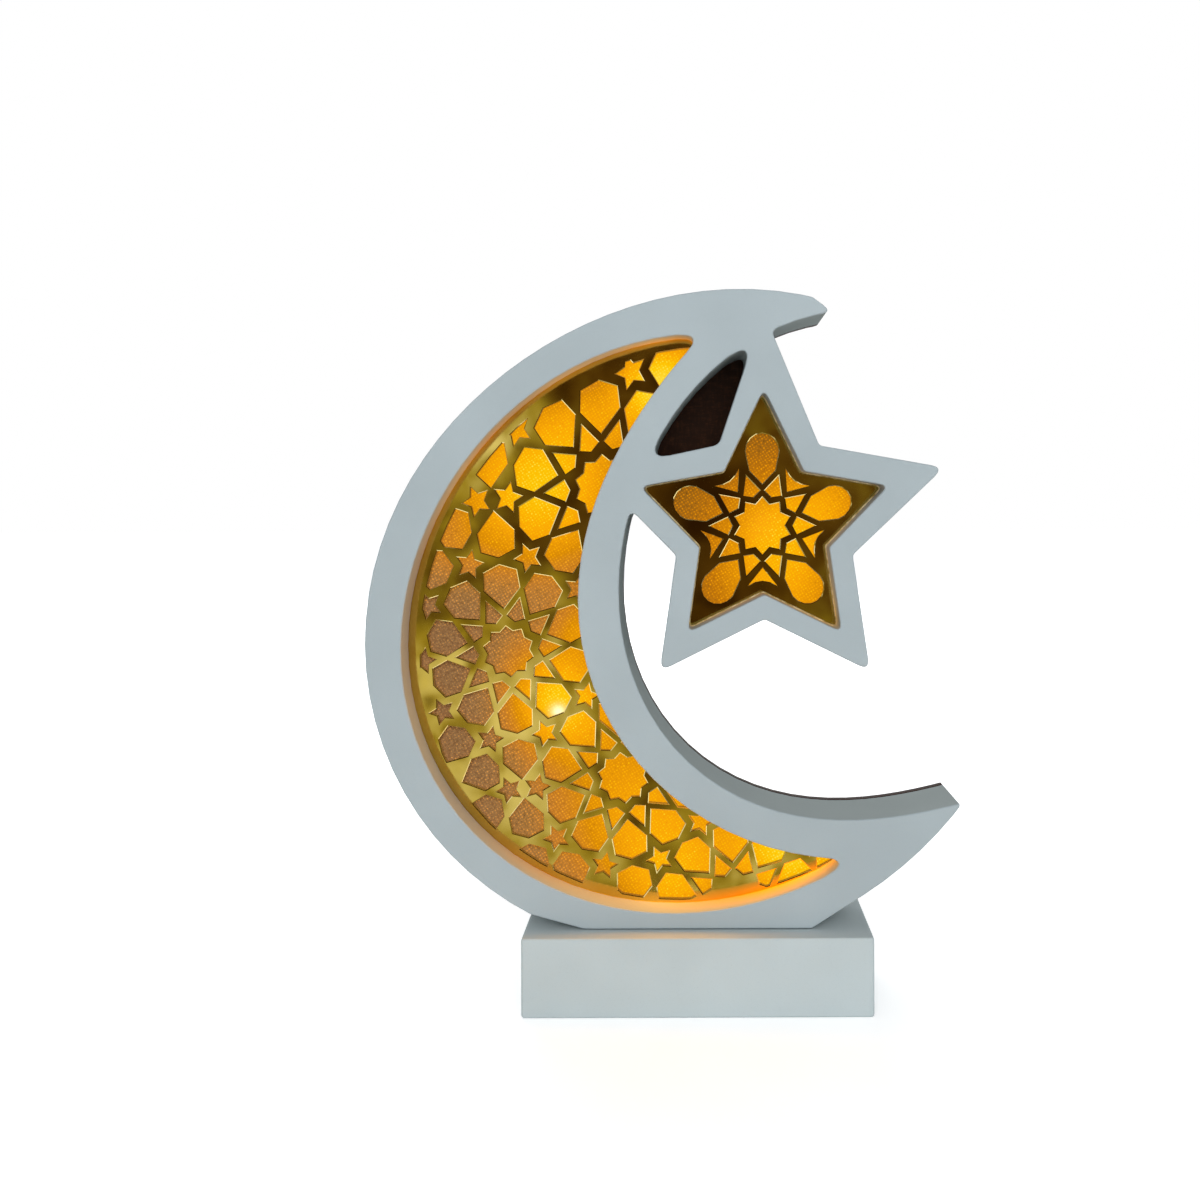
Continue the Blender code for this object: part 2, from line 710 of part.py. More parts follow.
def star_fret_loops():
    """Outline of the star's fretwork panel and its cut openings."""
    centre = STAR_CENTRE
    spread = math.pi / 10
    up = math.pi / 2
    loops = [star_window(REBATE - SEAT_GAP)]
    loops.append(star_outline(centre, STAR_PANEL_TIP, STAR_PANEL_NOTCH, 10, up))
    near, near_half = ARM_PETAL_SHOULDER
    wide, wide_half = ARM_PETAL_WIDE
    for index in range(10):
        angle = up + 2 * spread * index
        loops.append(kite(centre, angle + spread))
        if index % 2 == 0:
            bow = [(wide + (ARM_PETAL_END - wide) * math.sin(turn), wide_half * math.cos(turn))
                   for turn in np.linspace(0, math.pi, 9)]
            half = [(PETAL_TIP, 0), (near, near_half)]
            loops.append(spoke(centre, angle, [*half, *bow, (near, -near_half)]))
        else:
            side = polar((0, 0), NOTCH_CELL_SIDE, NOTCH_CELL_ANGLE)
            share = np.linspace(-1, 1, 5)
            bow = [(NOTCH_CELL_BOW + (side[0] - NOTCH_CELL_BOW) * at ** 2, side[1] * at)
                   for at in share]
            loops.append(spoke(centre, angle, [(PETAL_TIP, 0), *bow]))
    return loops


# Pieces of the board


def board_screw_places():
    """Where the back board is screwed down: round the rim and in the star's free tips."""
    places = []
    for angle in (*np.linspace(RIM_SCREW_START, RIM_SCREW_END, RIM_SCREWS), HORN_SCREW):
        outer = on_oval(MOON, angle)
        inner = on_oval(WINDOW, angle, REBATE)
        places.append((outer + inner) / 2)
    for index in (2, 3, 4):
        angle = math.pi / 2 + 2 * math.pi * index / 5
        places.append(np.array(polar(STAR_CENTRE, STAR_SCREW_REACH, angle)))
    return places


def base_screw_places():
    """The two screws that hold the board on the base, behind the board's front lip."""
    return [(side * BASE_SCREW_SPACING / 2, BOARD_FRONT + LIP_DEPTH / 2) for side in (-1, 1)]


def channel_ends():
    """The two ends of the wire channel, inside the moon's and the star's rebates."""
    angle = math.pi / 2 + 2 * math.pi / 5
    star_end = np.array(polar(STAR_CENTRE, CHANNEL_START, angle))
    outward = star_end - np.array(STAR_CENTRE)
    outward = outward / np.linalg.norm(outward)
    moon_end = star_end + outward * CHANNEL_LENGTH
    return moon_end, star_end


def bar_between(name, start, end, width, front, back):
    """A straight bar on the face between two points."""
    along = (end - start) / np.linalg.norm(end - start)
    across = np.array((-along[1], along[0])) * width / 2
    return plate(name, [np.array((start - across, end - across, end + across, start + across))],
                 front, back)


def make_board():
    """Routed board of the crescent and star, painted."""
    white = material("painted_board", (0.62, 0.67, 0.70), 0.45)
    outer = board_outlines()
    windows = [moon_window(), star_window()]
    rebates = [moon_window(REBATE), star_window(REBATE)]
    shoulder = BOARD_FRONT + LIP_DEPTH
    walls = [(loop, BOARD_FRONT, BOARD_BACK) for loop in outer]
    walls += [(loop, BOARD_FRONT, shoulder) for loop in windows]
    walls += [(loop, shoulder, BOARD_BACK) for loop in rebates]
    floors = [(outer + windows, BOARD_FRONT), (outer + rebates, BOARD_BACK)]
    floors += [([rebate, window], shoulder) for rebate, window in zip(rebates, windows)]
    board = stepped("moon_star_board", walls, floors, white)
    moon_end, star_end = channel_ends()
    boolean(board, bar_between("wire_channel", moon_end, star_end, WIRE_CHANNEL,
                               BOARD_BACK - WIRE_CHANNEL, BOARD_BACK + CUT_OVER))
    depth = BOARD_SCREW_LENGTH - BACK_BOARD_DEPTH + SEAT_GAP
    hole = BOARD_SCREW_RADIUS + SCREW_GAP
    holes = [([(hole, -depth), (hole, CUT_OVER)], (x, BOARD_BACK, z), (0, 1, 0))
             for x, z in board_screw_places()]
    hole = BASE_SCREW_RADIUS + SCREW_GAP
    bite = BASE_SCREW_BITE + SEAT_GAP
    holes += [([(hole, -CUT_OVER), (hole, bite)], (x, y, FOOT_Z), (0, 0, 1))
              for x, y in base_screw_places()]
    boolean(board, turned("pilot_holes", holes, sides=8))


def make_back_board():
    """Thin dark board that closes the back, the gap between moon and star included."""
    brown = material("dark_hardboard", (0.020, 0.010, 0.004), 0.75)
    loops = board_outlines()
    outer = max(loops, key=lambda loop: abs(area(loop)))
    back = plate("back_board", [outer], BACK_BOARD_FRONT, BACK_BOARD_BACK, brown)
    hole = BOARD_SCREW_RADIUS + SCREW_GAP
    head = BOARD_SCREW_HEAD + SCREW_GAP
    cone = head - hole
    holes = [([(hole, -CUT_OVER - BACK_BOARD_DEPTH), (hole, -cone), (head, 0), (head, CUT_OVER)],
              (x, BACK_BOARD_BACK, z), (0, 1, 0)) for x, z in board_screw_places()]
    lead = lead_place()
    bore = LEAD_RADIUS + WIRE_RADIUS
    holes.append(([(bore, -CUT_OVER - BACK_BOARD_DEPTH), (bore, CUT_OVER)],
                  (lead[0], BACK_BOARD_BACK, lead[1]), (0, 1, 0)))
    hole = BOX_SCREW_RADIUS + SCREW_GAP
    through = [(hole, -CUT_OVER - BACK_BOARD_DEPTH), (hole, CUT_OVER)]
    holes += [(through, (x, BACK_BOARD_BACK, z), (0, 1, 0)) for x, z in ear_places()]
    boolean(back, turned("back_board_holes", holes, sides=8))


def make_panels():
    """Mirror fretwork and woven diffuser of each window."""
    gold = material("gold_mirror", (0.55, 0.42, 0.10), 0.15, 1.0)
    cloth = material("lit_weave", (1.0, 0.48, 0.05), 0.6)
    plate("moon_fret_panel", moon_fret_loops(), FRET_FRONT, FRET_BACK, gold)
    plate("star_fret_panel", star_fret_loops(), FRET_FRONT, FRET_BACK, gold)
    edge = REBATE - SEAT_GAP
    plate("moon_diffuser", [moon_window(edge)], DIFFUSER_FRONT, DIFFUSER_BACK, cloth)
    plate("star_diffuser", [star_window(edge)], DIFFUSER_FRONT, DIFFUSER_BACK, cloth)


def countersunk(radius, head, length):
    """Profile of a countersunk screw, its head's face at height 0 and its point above."""
    cone = head - radius
    return [(head, 0.0), (head - 0.3 * cone, 0.3 * cone), (radius, cone),
            (radius, length - 1.5 * radius), (0.3 * radius, length)]


def make_board_screws():
    """Screws of the back board."""
    steel = material("zinc_steel", (0.55, 0.55, 0.52), 0.35, 1.0)
    profile = countersunk(BOARD_SCREW_RADIUS, BOARD_SCREW_HEAD, BOARD_SCREW_LENGTH)
    for index, (x, z) in enumerate(board_screw_places()):
        turned(f"back_board_screw_{index + 1}", [(profile, (x, BACK_BOARD_BACK, z), (0, -1, 0))],
               steel, sides=8)


# Base


def make_base():
    """Solid block that the board stands on, and the screws up into the board."""
    white = material("painted_base", (0.66, 0.70, 0.72), 0.45)
    half = (BASE_WIDTH / 2, BASE_DEPTH / 2)
    block = box("base_block", (-half[0], -half[1], 0), (half[0], half[1], BASE_HEIGHT), white)
    edge = block.modifiers.new("eased_edges", "BEVEL")
    edge.width = BASE_EDGE
    edge.segments = 2
    hole = BASE_SCREW_RADIUS + SCREW_GAP
    profile = [(COUNTERBORE_RADIUS, -CUT_OVER), (COUNTERBORE_RADIUS, COUNTERBORE_DEPTH),
               (hole, COUNTERBORE_DEPTH), (hole, BASE_HEIGHT + CUT_OVER)]
    boolean(block, turned("base_holes", [(profile, (x, y, 0), (0, 0, 1))
                                         for x, y in base_screw_places()], sides=12))
    steel = material("zinc_steel", (0.55, 0.55, 0.52), 0.35, 1.0)
    head = COUNTERBORE_DEPTH - SEAT_GAP
    thick = BASE_HEAD_THICKNESS
    length = FOOT_Z + BASE_SCREW_BITE
    profile = [(BASE_SCREW_HEAD * 0.8, head - thick), (BASE_SCREW_HEAD, head - thick * 0.6),
               (BASE_SCREW_HEAD, head), (BASE_SCREW_RADIUS, head),
               (BASE_SCREW_RADIUS, length - 2 * BASE_SCREW_RADIUS), (0.5 * MM, length)]
    for index, (x, y) in enumerate(base_screw_places()):
        turned(f"base_screw_{index + 1}", [(profile, (x, y, 0), (0, 0, 1))], steel, sides=10)


# Lamp string


def moon_lamp_run(count):
    """Places along the moon's hollow side, closer to the edge towards both horns."""
    share = np.linspace(0, 1, count)
    angle = MOON_LAMP_START + (MOON_LAMP_END - MOON_LAMP_START) * share
    inset = LAMP_INSET_END + (LAMP_INSET_MIDDLE - LAMP_INSET_END) * np.sin(math.pi * share)
    flat = on_oval(WINDOW_HOLLOW, angle, inset)
    return [Vector((x, LAMP_Y, z)) for x, z in flat]


def star_lamp_places():
    """Ring of lamps behind the star's middle, the first one towards the wire channel."""
    first = math.pi / 2 + 2 * math.pi / 5
    places = []
    for index in range(STAR_LAMPS):
        x, z = polar(STAR_CENTRE, STAR_LAMP_RING, first - 2 * math.pi * index / STAR_LAMPS)
        places.append(Vector((x, LAMP_Y, z)))
    return places


def lamp_beads(name, places, finish):
    """Clear drops, each a little longer along the string."""
    for index, place in enumerate(places):
        ahead = places[min(index + 1, len(places) - 1)] - places[max(index - 1, 0)]
        turn = np.linspace(-math.pi / 2, math.pi / 2, 7)
        profile = [(LAMP_RADIUS * math.cos(t) if abs(math.cos(t)) > 1e-6 else 0.0,
                    LAMP_LENGTH * math.sin(t)) for t in turn]
        turned(f"{name}_{index + 1}", [(profile, place, ahead.normalized())], finish, sides=8)


def on_wire(place):
    """The spot on the wire behind a lamp."""
    return Vector((place[0], WIRE_Y, place[-1]))


def make_lamps():
    """Two strings of small lamps on thin wire, joined through the wire channel."""
    clear = material("lamp_resin", (1.0, 0.85, 0.55), 0.2)
    copper = material("enamelled_wire", (0.60, 0.30, 0.12), 0.35, 1.0)
    moon = moon_lamp_run(MOON_LAMPS)
    star = star_lamp_places()
    lamp_beads("moon_lamp", moon, clear)
    lamp_beads("star_lamp", star, clear)
    tube("moon_lamp_wire", [smooth_run([on_wire(place) for place in moon])], WIRE_RADIUS, copper)
    moon_end, star_end = channel_ends()
    route = [on_wire(moon_end), on_wire(star_end)] + [on_wire(place) for place in star]
    tube("star_lamp_wire", [smooth_run(route)], WIRE_RADIUS, copper)


# Battery box


def cell_bay():
    """Inner size of the cell bay: length, height and depth."""
    height = 4 * CELL_RADIUS + 3 * CELL_GAP
    return CELL_LENGTH + CONTACT_ROOM, height, 2 * CELL_RADIUS + 2 * CELL_GAP


def box_span():
    """Low and high corner of the battery box."""
    length, height, depth = cell_bay()
    outer = (length + BOX_DIVIDER + SWITCH_BAY + 2 * BOX_WALL, height + 2 * BOX_WALL)
    front = BACK_BOARD_BACK + SEAT_GAP
    back = front + BOX_WALL + depth + SEAT_GAP + DOOR_THICKNESS
    return ((BOX_CENTRE[0] - outer[0] / 2, front, BOX_CENTRE[1] - outer[1] / 2),
            (BOX_CENTRE[0] + outer[0] / 2, back, BOX_CENTRE[1] + outer[1] / 2))


def bay_span():
    """Low and high corner of the cell bay."""
    low = box_span()[0]
    length, height, depth = cell_bay()
    start = (low[0] + BOX_WALL, low[1] + BOX_WALL, low[2] + BOX_WALL)
    return start, (start[0] + length, start[1] + depth, start[2] + height)


def switch_place():
    """Middle of the switch bay, on the face."""
    high = box_span()[1]
    return (high[0] - BOX_WALL - SWITCH_BAY / 2, BOX_CENTRE[1])


def lead_place():
    """Where the lead passes the box floor and the back board."""
    x, z = switch_place()
    return (x, z - SWITCH_BODY[2] / 2 + LEAD_RADIUS + SEAT_GAP)


def ear_places():
    """Screw places of the two mounting ears."""
    low, high = box_span()
    return [(low[0] - EAR_LENGTH / 2, BOX_CENTRE[1]), (high[0] + EAR_LENGTH / 2, BOX_CENTRE[1])]


def make_battery_box():
    """Moulded box: cell bay with door grooves, closed switch bay and two ears."""
    shell = material("box_plastic", (0.80, 0.80, 0.78), 0.4)
    low, high = box_span()
    bay_low, bay_high = bay_span()
    body = box("battery_box", low, high, shell)
    edge = body.modifiers.new("moulded_edges", "BEVEL")
    edge.width = BOX_EDGE
    edge.segments = 2
    ear_half = EAR_LENGTH / 2 + EAR_HOLE_RADIUS
    ear = (low[0] - EAR_LENGTH, low[1], BOX_CENTRE[1] - ear_half)
    ear_end = (high[0] + EAR_LENGTH, low[1] + EAR_THICKNESS, BOX_CENTRE[1] + ear_half)
    boolean(body, box("box_ears", ear, ear_end), "UNION")
    boolean(body, box("cell_pocket", bay_low, (bay_high[0], high[1] + CUT_OVER, bay_high[2])))
    door_floor = high[1] - DOOR_THICKNESS - SEAT_GAP
    boolean(body, box("door_way", (low[0] - CUT_OVER, door_floor, bay_low[2]),
                      (bay_low[0] + CUT_OVER, high[1] + CUT_OVER, bay_high[2])))
    groove = DOOR_TONGUE + DOOR_GAP
    groove_top = door_floor + SEAT_GAP + DOOR_TONGUE_THICKNESS + SEAT_GAP
    boolean(body, box("door_groove", (low[0] - CUT_OVER, door_floor, bay_low[2] - groove),
                      (bay_high[0], groove_top, bay_high[2] + groove)))
    bay = bay_high[0] + BOX_DIVIDER
    boolean(body, box("switch_pocket", (bay, bay_low[1], bay_low[2]),
                      (bay + SWITCH_BAY, high[1] - SWITCH_ROOF, bay_high[2])))
    x, z = switch_place()
    slot_half = (SWITCH_STEM[0] / 2 + SEAT_GAP, SWITCH_STEM[1] / 2 + SEAT_GAP)
    slot_low = (x - slot_half[0], high[1] - 2 * SWITCH_ROOF, z - slot_half[1] - SWITCH_TRAVEL)
    slot_high = (x + slot_half[0], high[1] + CUT_OVER, z + slot_half[1])
    boolean(body, box("switch_slot", slot_low, slot_high))
    lead = lead_place()
    bore = LEAD_RADIUS + WIRE_RADIUS
    holes = [([(bore, -CUT_OVER), (bore, 2 * BOX_WALL)], (lead[0], low[1], lead[1]), (0, 1, 0))]
    profile = [(EAR_HOLE_RADIUS, -CUT_OVER), (EAR_HOLE_RADIUS, 2 * EAR_THICKNESS)]
    holes += [(profile, (x, low[1], z), (0, 1, 0)) for x, z in ear_places()]
    boolean(body, turned("box_holes", holes, sides=12))
    steel = material("zinc_steel", (0.55, 0.55, 0.52), 0.35, 1.0)
    head = BOX_SCREW_RADIUS * 1.9
    thick = BOX_HEAD_THICKNESS
    profile = [(head * 0.7, -thick), (head, -thick * 0.5), (head, 0), (BOX_SCREW_RADIUS, 0),
               (BOX_SCREW_RADIUS, BOX_SCREW_LENGTH)]
    face = low[1] + EAR_THICKNESS + SEAT_GAP
    for index, (x, z) in enumerate(ear_places()):
        turned(f"battery_box_screw_{index + 1}", [(profile, (x, face, z), (0, -1, 0))], steel,
               sides=10)


def make_door():
    """Sliding door of the cell bay, with a tongue on each long edge and a ribbed grip."""
    shell = material("box_plastic", (0.80, 0.80, 0.78), 0.4)
    low, high = box_span()
    bay_low, bay_high = bay_span()
    inner = high[1] - DOOR_THICKNESS
    step = inner + DOOR_TONGUE_THICKNESS
    side = DOOR_TONGUE
    section = [(bay_low[2] - side, inner), (bay_high[2] + side, inner),
               (bay_high[2] + side, step), (bay_high[2] - DOOR_GAP, step),
               (bay_high[2] - DOOR_GAP, high[1]), (bay_low[2] + DOOR_GAP, high[1]),
               (bay_low[2] + DOOR_GAP, step), (bay_low[2] - side, step)]
    shape = bmesh.new()
    ends = []
    for x in (low[0], bay_high[0] - DOOR_GAP):
        ends.append([shape.verts.new((x, y, z)) for z, y in section])
    shape.faces.new(ends[0])
    shape.faces.new(ends[1])
    for index in range(len(section)):
        after = (index + 1) % len(section)
        shape.faces.new((ends[0][index], ends[0][after], ends[1][after], ends[1][index]))
    door = from_bmesh("battery_door", shape, shell)
    rib = GRIP_RIB
    ribs = []
    for index in range(GRIP_RIBS):
        x = low[0] + GRIP_START + GRIP_STEP * index
        ribs.append(box("rib", (x, high[1] - rib[1], BOX_CENTRE[1] - rib[2] / 2),
                        (x + rib[0], high[1] + rib[1], BOX_CENTRE[1] + rib[2] / 2)))
    set_origin(door, (low[0], inner, BOX_CENTRE[1]))
    boolean(door, join("door_ribs", ribs), "UNION")


def cell_lines():
    """Height of each cell's axis."""
    low = bay_span()[0]
    first = low[2] + CELL_GAP + CELL_RADIUS
    return first, first + 2 * CELL_RADIUS + CELL_GAP


def make_cells():
    """Two cells laid head to tail, with their end plates and springs."""
    jacket = material("cell_jacket", (0.10, 0.12, 0.14), 0.35, 0.6)
    nickel = material("nickel_contact", (0.70, 0.68, 0.62), 0.3, 1.0)
    low, high = bay_span()
    axis_y = low[1] + CELL_GAP + CELL_RADIUS
    can = CELL_LENGTH - CELL_BUTTON[1]
    edge = CELL_EDGE
    profile = [(CELL_RADIUS - edge, 0), (CELL_RADIUS, edge), (CELL_RADIUS, can - edge),
               (CELL_RADIUS - edge, can), (CELL_BUTTON[0], can), (CELL_BUTTON[0], CELL_LENGTH)]
    for index, z in enumerate(cell_lines()):
        heads_on = index == 0
        button = high[0] if heads_on else low[0]
        away = 1 if heads_on else -1
        foot = button - away * (CONTACT_THICKNESS + 2 * SEAT_GAP + CELL_LENGTH)
        turned(f"battery_cell_{index + 1}", [(profile, (foot, axis_y, z), (away, 0, 0))], jacket,
               sides=16)
        near = button - away * SEAT_GAP
        half = CELL_RADIUS * 0.75
        far = near - away * CONTACT_THICKNESS
        box(f"contact_plate_{index + 1}", (min(near, far), axis_y - half, z - half),
            (max(near, far), axis_y + half, z + half), nickel)
        wall = low[0] if heads_on else high[0]
        clear = away * (SEAT_GAP + SPRING_WIRE)
        run = spring_run(foot - clear, wall + clear, axis_y, z)
        tube(f"contact_spring_{index + 1}", [run], SPRING_WIRE, nickel)


def spring_run(small_end, large_end, y, z):
    """Conical spring: a helix that widens towards the box wall."""
    steps = 9 * SPRING_TURNS
    share = np.linspace(0, 1, steps + 1)
    angle = 2 * math.pi * SPRING_TURNS * share
    radius = SPRING_SMALL + (SPRING_LARGE - SPRING_SMALL) * share
    x = small_end + (large_end - small_end) * share
    return [Vector((px, y + r * math.cos(a), z + r * math.sin(a)))
            for px, r, a in zip(x, radius, angle)]


def make_switch():
    """Slide switch in its bay: a body with a trough, and the slider in it."""
    body_finish = material("switch_body", (0.05, 0.05, 0.05), 0.45)
    knob_finish = material("switch_knob", (0.02, 0.02, 0.02), 0.5)
    high = box_span()[1]
    x, z = switch_place()
    top = high[1] - SWITCH_ROOF - SEAT_GAP
    width, depth, length = SWITCH_BODY
    middle = z - SWITCH_TRAVEL / 2
    body = box("switch_body", (x - width / 2, top - depth, middle - length / 2),
               (x + width / 2, top, middle + length / 2), body_finish)
    stem = (SWITCH_STEM[0] / 2, SWITCH_STEM[1] / 2)
    side = (stem[0] + SEAT_GAP, stem[1] + SEAT_GAP)
    boolean(body, box("switch_trough", (x - side[0], top - SWITCH_TROUGH, z - side[1] - SWITCH_TRAVEL),
                      (x + side[0], top + CUT_OVER, z + side[1])))
    slider = box("switch_slider", (x - stem[0], top - SWITCH_TROUGH + SEAT_GAP, z - stem[1]),
                 (x + stem[0], high[1] + SWITCH_STANDS_OUT, z + stem[1]), knob_finish)
    set_origin(slider, (x, high[1], z))


def make_lead():
    """Twin lead from the switch through the box floor and the back board to the last lamp."""
    sleeve = material("lead_sleeve", (0.75, 0.72, 0.66), 0.5)
    high = box_span()[1]
    x, z = lead_place()
    start_y = high[1] - SWITCH_ROOF - SEAT_GAP - SWITCH_BODY[1] - SEAT_GAP
    last = moon_lamp_run(MOON_LAMPS)[-1]
    toward = Vector((last.x - x, 0, last.z - z)).normalized()
    corner = Vector((x, LAMP_Y, z))
    away = LAMP_LENGTH + LEAD_RADIUS + 2 * SEAT_GAP
    route = [(x, start_y, z), (x, (start_y + BACK_BOARD_BACK) / 2, z), (x, BACK_BOARD_FRONT, z),
             corner + toward * LEAD_RADIUS * 2, last - toward * (away + 4 * LEAD_RADIUS),
             last - toward * away]
    tube("supply_lead", [smooth_run(route)], LEAD_RADIUS, sleeve)


def main():
    """Builds every piece of the sign."""
    clear_scene()
    make_board()
    make_back_board()
    make_panels()
    make_board_screws()
    make_base()
    make_lamps()
    make_battery_box()
    make_door()
    make_cells()
    make_switch()
    make_lead()


main()
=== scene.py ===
# %% [markdown]
# A lit table sign: a crescent moon with a star between its horns, cut from painted
# fibreboard, on a block foot. Gold mirror fretwork fills both windows and a woven light
# sheet glows behind it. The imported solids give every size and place. This script dresses
# them: it eases the edges, cuts the fine rims and gives each surface its own finish.

# %% The frame
import math

import bmesh
import bpy
import numpy as np
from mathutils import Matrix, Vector, geometry


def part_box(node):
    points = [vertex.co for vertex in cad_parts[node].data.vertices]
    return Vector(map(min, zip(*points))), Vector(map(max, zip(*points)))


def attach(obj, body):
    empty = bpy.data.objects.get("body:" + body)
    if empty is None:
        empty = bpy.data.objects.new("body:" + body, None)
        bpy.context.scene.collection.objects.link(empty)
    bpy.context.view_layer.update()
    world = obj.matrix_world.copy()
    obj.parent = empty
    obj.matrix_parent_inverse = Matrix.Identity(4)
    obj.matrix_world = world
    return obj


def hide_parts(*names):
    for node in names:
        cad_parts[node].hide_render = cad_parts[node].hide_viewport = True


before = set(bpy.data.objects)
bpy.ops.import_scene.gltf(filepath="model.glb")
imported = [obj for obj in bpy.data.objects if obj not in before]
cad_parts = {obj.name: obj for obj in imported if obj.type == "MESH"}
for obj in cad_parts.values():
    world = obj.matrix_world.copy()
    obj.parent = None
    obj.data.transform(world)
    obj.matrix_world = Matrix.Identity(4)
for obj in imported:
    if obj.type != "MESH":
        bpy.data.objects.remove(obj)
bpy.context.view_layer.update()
MM = 0.001

# %% [markdown]
# Colours are written as sRGB hex values, as a paint card or a picture gives them, and one
# function turns them into the linear numbers that a shader works with.


# %% Colours
def linear(hex_colour, share=1.0):
    """sRGB hex to linear RGBA: each channel c is c/12.92 below 0.04045, and
    ((c + 0.055) / 1.055) to the power 2.4 above it."""
    channels = np.array([int(hex_colour[at:at + 2], 16) / 255 for at in (1, 3, 5)])
    low = channels / 12.92
    high = ((channels + 0.055) / 1.055) ** 2.4
    return (*(np.where(channels <= 0.04045, low, high) * share).tolist(), 1.0)


print("mid grey is", round(linear("#808080")[0], 3))

# %% [markdown]
# A material is a small network of nodes. One function adds a node with its settings and
# links, so each material below reads as a list from its coordinates to its shader.


# %% Nodes
def node(tree, kind, settings=None, **inputs):
    """Adds a node. Settings are its own values, with a ramp's stops among them. Inputs are
    values, sockets, or nodes that give their first live output. A socket goes by its label
    with underscores for spaces, or as in_0, in_1 by number. A hex colour turns linear."""
    made = tree.nodes.new(kind)
    for key, value in (settings or {}).items():
        if key == "stops":
            bar = made.color_ramp
            while len(bar.elements) < len(value):
                bar.elements.new(0.5)
            for element, (position, colour) in zip(bar.elements, value):
                element.position = position
                element.color = linear(colour) if isinstance(colour, str) else colour
        else:
            setattr(made, key, value)
    for key, value in inputs.items():
        number = key.removeprefix("in_")
        label = key.replace("_", " ")
        socket = made.inputs[int(number)] if number.isdigit() else next(
            one for one in made.inputs if one.enabled and one.name == label)
        if isinstance(value, str):
            value = linear(value)
        if isinstance(value, bpy.types.Node):
            value = next(one for one in value.outputs if one.enabled)
        if isinstance(value, bpy.types.NodeSocket):
            tree.links.new(value, socket)
        else:
            socket.default_value = value
    return made


def new_material(name):
    """A material with an empty node tree, and the object coordinates in it."""
    made = bpy.data.materials.new(name)
    made.use_nodes = True
    made.node_tree.nodes.clear()
    return made, made.node_tree, node(made.node_tree, "ShaderNodeTexCoord").outputs["Object"]


print("node helper ready")

# %% [markdown]
# Most finishes end alike: a pattern sets the colour, the gloss and the relief of one shader.
# Simple ones, such as plating or cast resin, follow a single noise in all three.


# %% Finishes
def finish_with(tree, tint, gloss=None, relief=None, glow=None, **settings):
    """The shader at the end of a finish. Tint is a colour node or (pattern, stop, stop...),
    gloss is (pattern, smoothest, roughest) and relief is (pattern, depth, strength). Glow
    is how strongly it gives off its own colour. Settings go on the shader's own sockets."""
    if isinstance(tint, tuple):
        tint = node(tree, "ShaderNodeValToRGB", {"stops": tint[1:]}, Fac=tint[0])
    if gloss:
        settings["Roughness"] = node(tree, "ShaderNodeMapRange", Value=gloss[0],
                                     To_Min=gloss[1], To_Max=gloss[2])
    if relief:
        settings["Normal"] = node(tree, "ShaderNodeBump", Height=relief[0],
                                  Distance=relief[1], Strength=relief[2])
    if glow:
        settings.update(Emission_Color=tint, Emission_Strength=glow)
    shader = node(tree, "ShaderNodeBsdfPrincipled", Base_Color=tint, **settings)
    node(tree, "ShaderNodeOutputMaterial", Surface=shader)


def one_grain(name, dark, light, grain, gloss=None, relief=None, detail=2.0, pull=None,
              **settings):
    """A finish that follows one noise of a given grain between two colours. Pull shrinks an
    axis, so that the grain is longer along it, as drawing or brushing makes it."""
    made, tree, place = new_material(name)
    if pull:
        place = node(tree, "ShaderNodeMapping", Vector=place, Scale=pull)
    noise = node(tree, "ShaderNodeTexNoise", Vector=place, Scale=1 / grain, Detail=detail)
    finish_with(tree, (noise, (0.3, dark), (0.7, light)),
                gloss and (noise, *gloss), relief and (noise, *relief), **settings)
    return made


print("finish helpers ready")

# %% [markdown]
# Each flat piece has rims: the closed lines where its face meets its walls. They are read
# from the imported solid, so that the dressed piece can't drift away from it. An edge of the
# face that only one triangle uses belongs to a rim.


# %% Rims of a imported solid
def places_of(mesh):
    """The mesh's points, a row of x, y and z for each."""
    places = np.empty(len(mesh.vertices) * 3)
    mesh.vertices.foreach_get("co", places)
    return places.reshape(-1, 3)


def area(loop):
    """Signed area: half the sum of x times the next z less the next x times z."""
    ahead = np.roll(loop, -1, axis=0)
    return 0.5 * float(np.sum(loop[:, 0] * ahead[:, 1] - ahead[:, 0] * loop[:, 1]))


LEVEL_SLACK = 0.02 * MM


def rims(name):
    """Closed rims of a solid's flat front face, the largest area first. The material is on
    the left of each line."""
    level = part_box(name)[0][1]
    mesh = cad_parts[name].data
    mesh.calc_loop_triangles()
    corners = np.empty(len(mesh.loop_triangles) * 3, dtype=int)
    mesh.loop_triangles.foreach_get("vertices", corners)
    triangle = places_of(mesh)[corners].reshape(-1, 3, 3)
    flat = triangle[np.all(np.abs(triangle[:, :, 1] - level) < LEVEL_SLACK, axis=1)][:, :, ::2]
    spots, index = np.unique(np.round(flat.reshape(-1, 2), 7), axis=0, return_inverse=True)
    index = index.reshape(-1, 3)
    edges = np.stack((index, np.roll(index, -1, axis=1)), axis=-1).reshape(-1, 2)
    key = edges[:, 0] * len(spots) + edges[:, 1]
    back = edges[:, 1] * len(spots) + edges[:, 0]
    onward = dict(edges[~np.isin(key, back)].tolist())
    loops = []
    while onward:
        at = next(iter(onward))
        loop = []
        while at in onward:
            loop.append(at)
            at = onward.pop(at)
        loops.append(spots[loop])
    return sorted(loops, key=lambda loop: -abs(area(loop)))


print("board rims", len(rims("moon_star_board")))

# %% [markdown]
# A cutter leaves a sharp line, and sandpaper then softens it. Two steps do that to a rim:
# its corners are cut off twice, which rounds them, and it is moved into the material by an
# even distance, which gives the inner line of an eased edge.


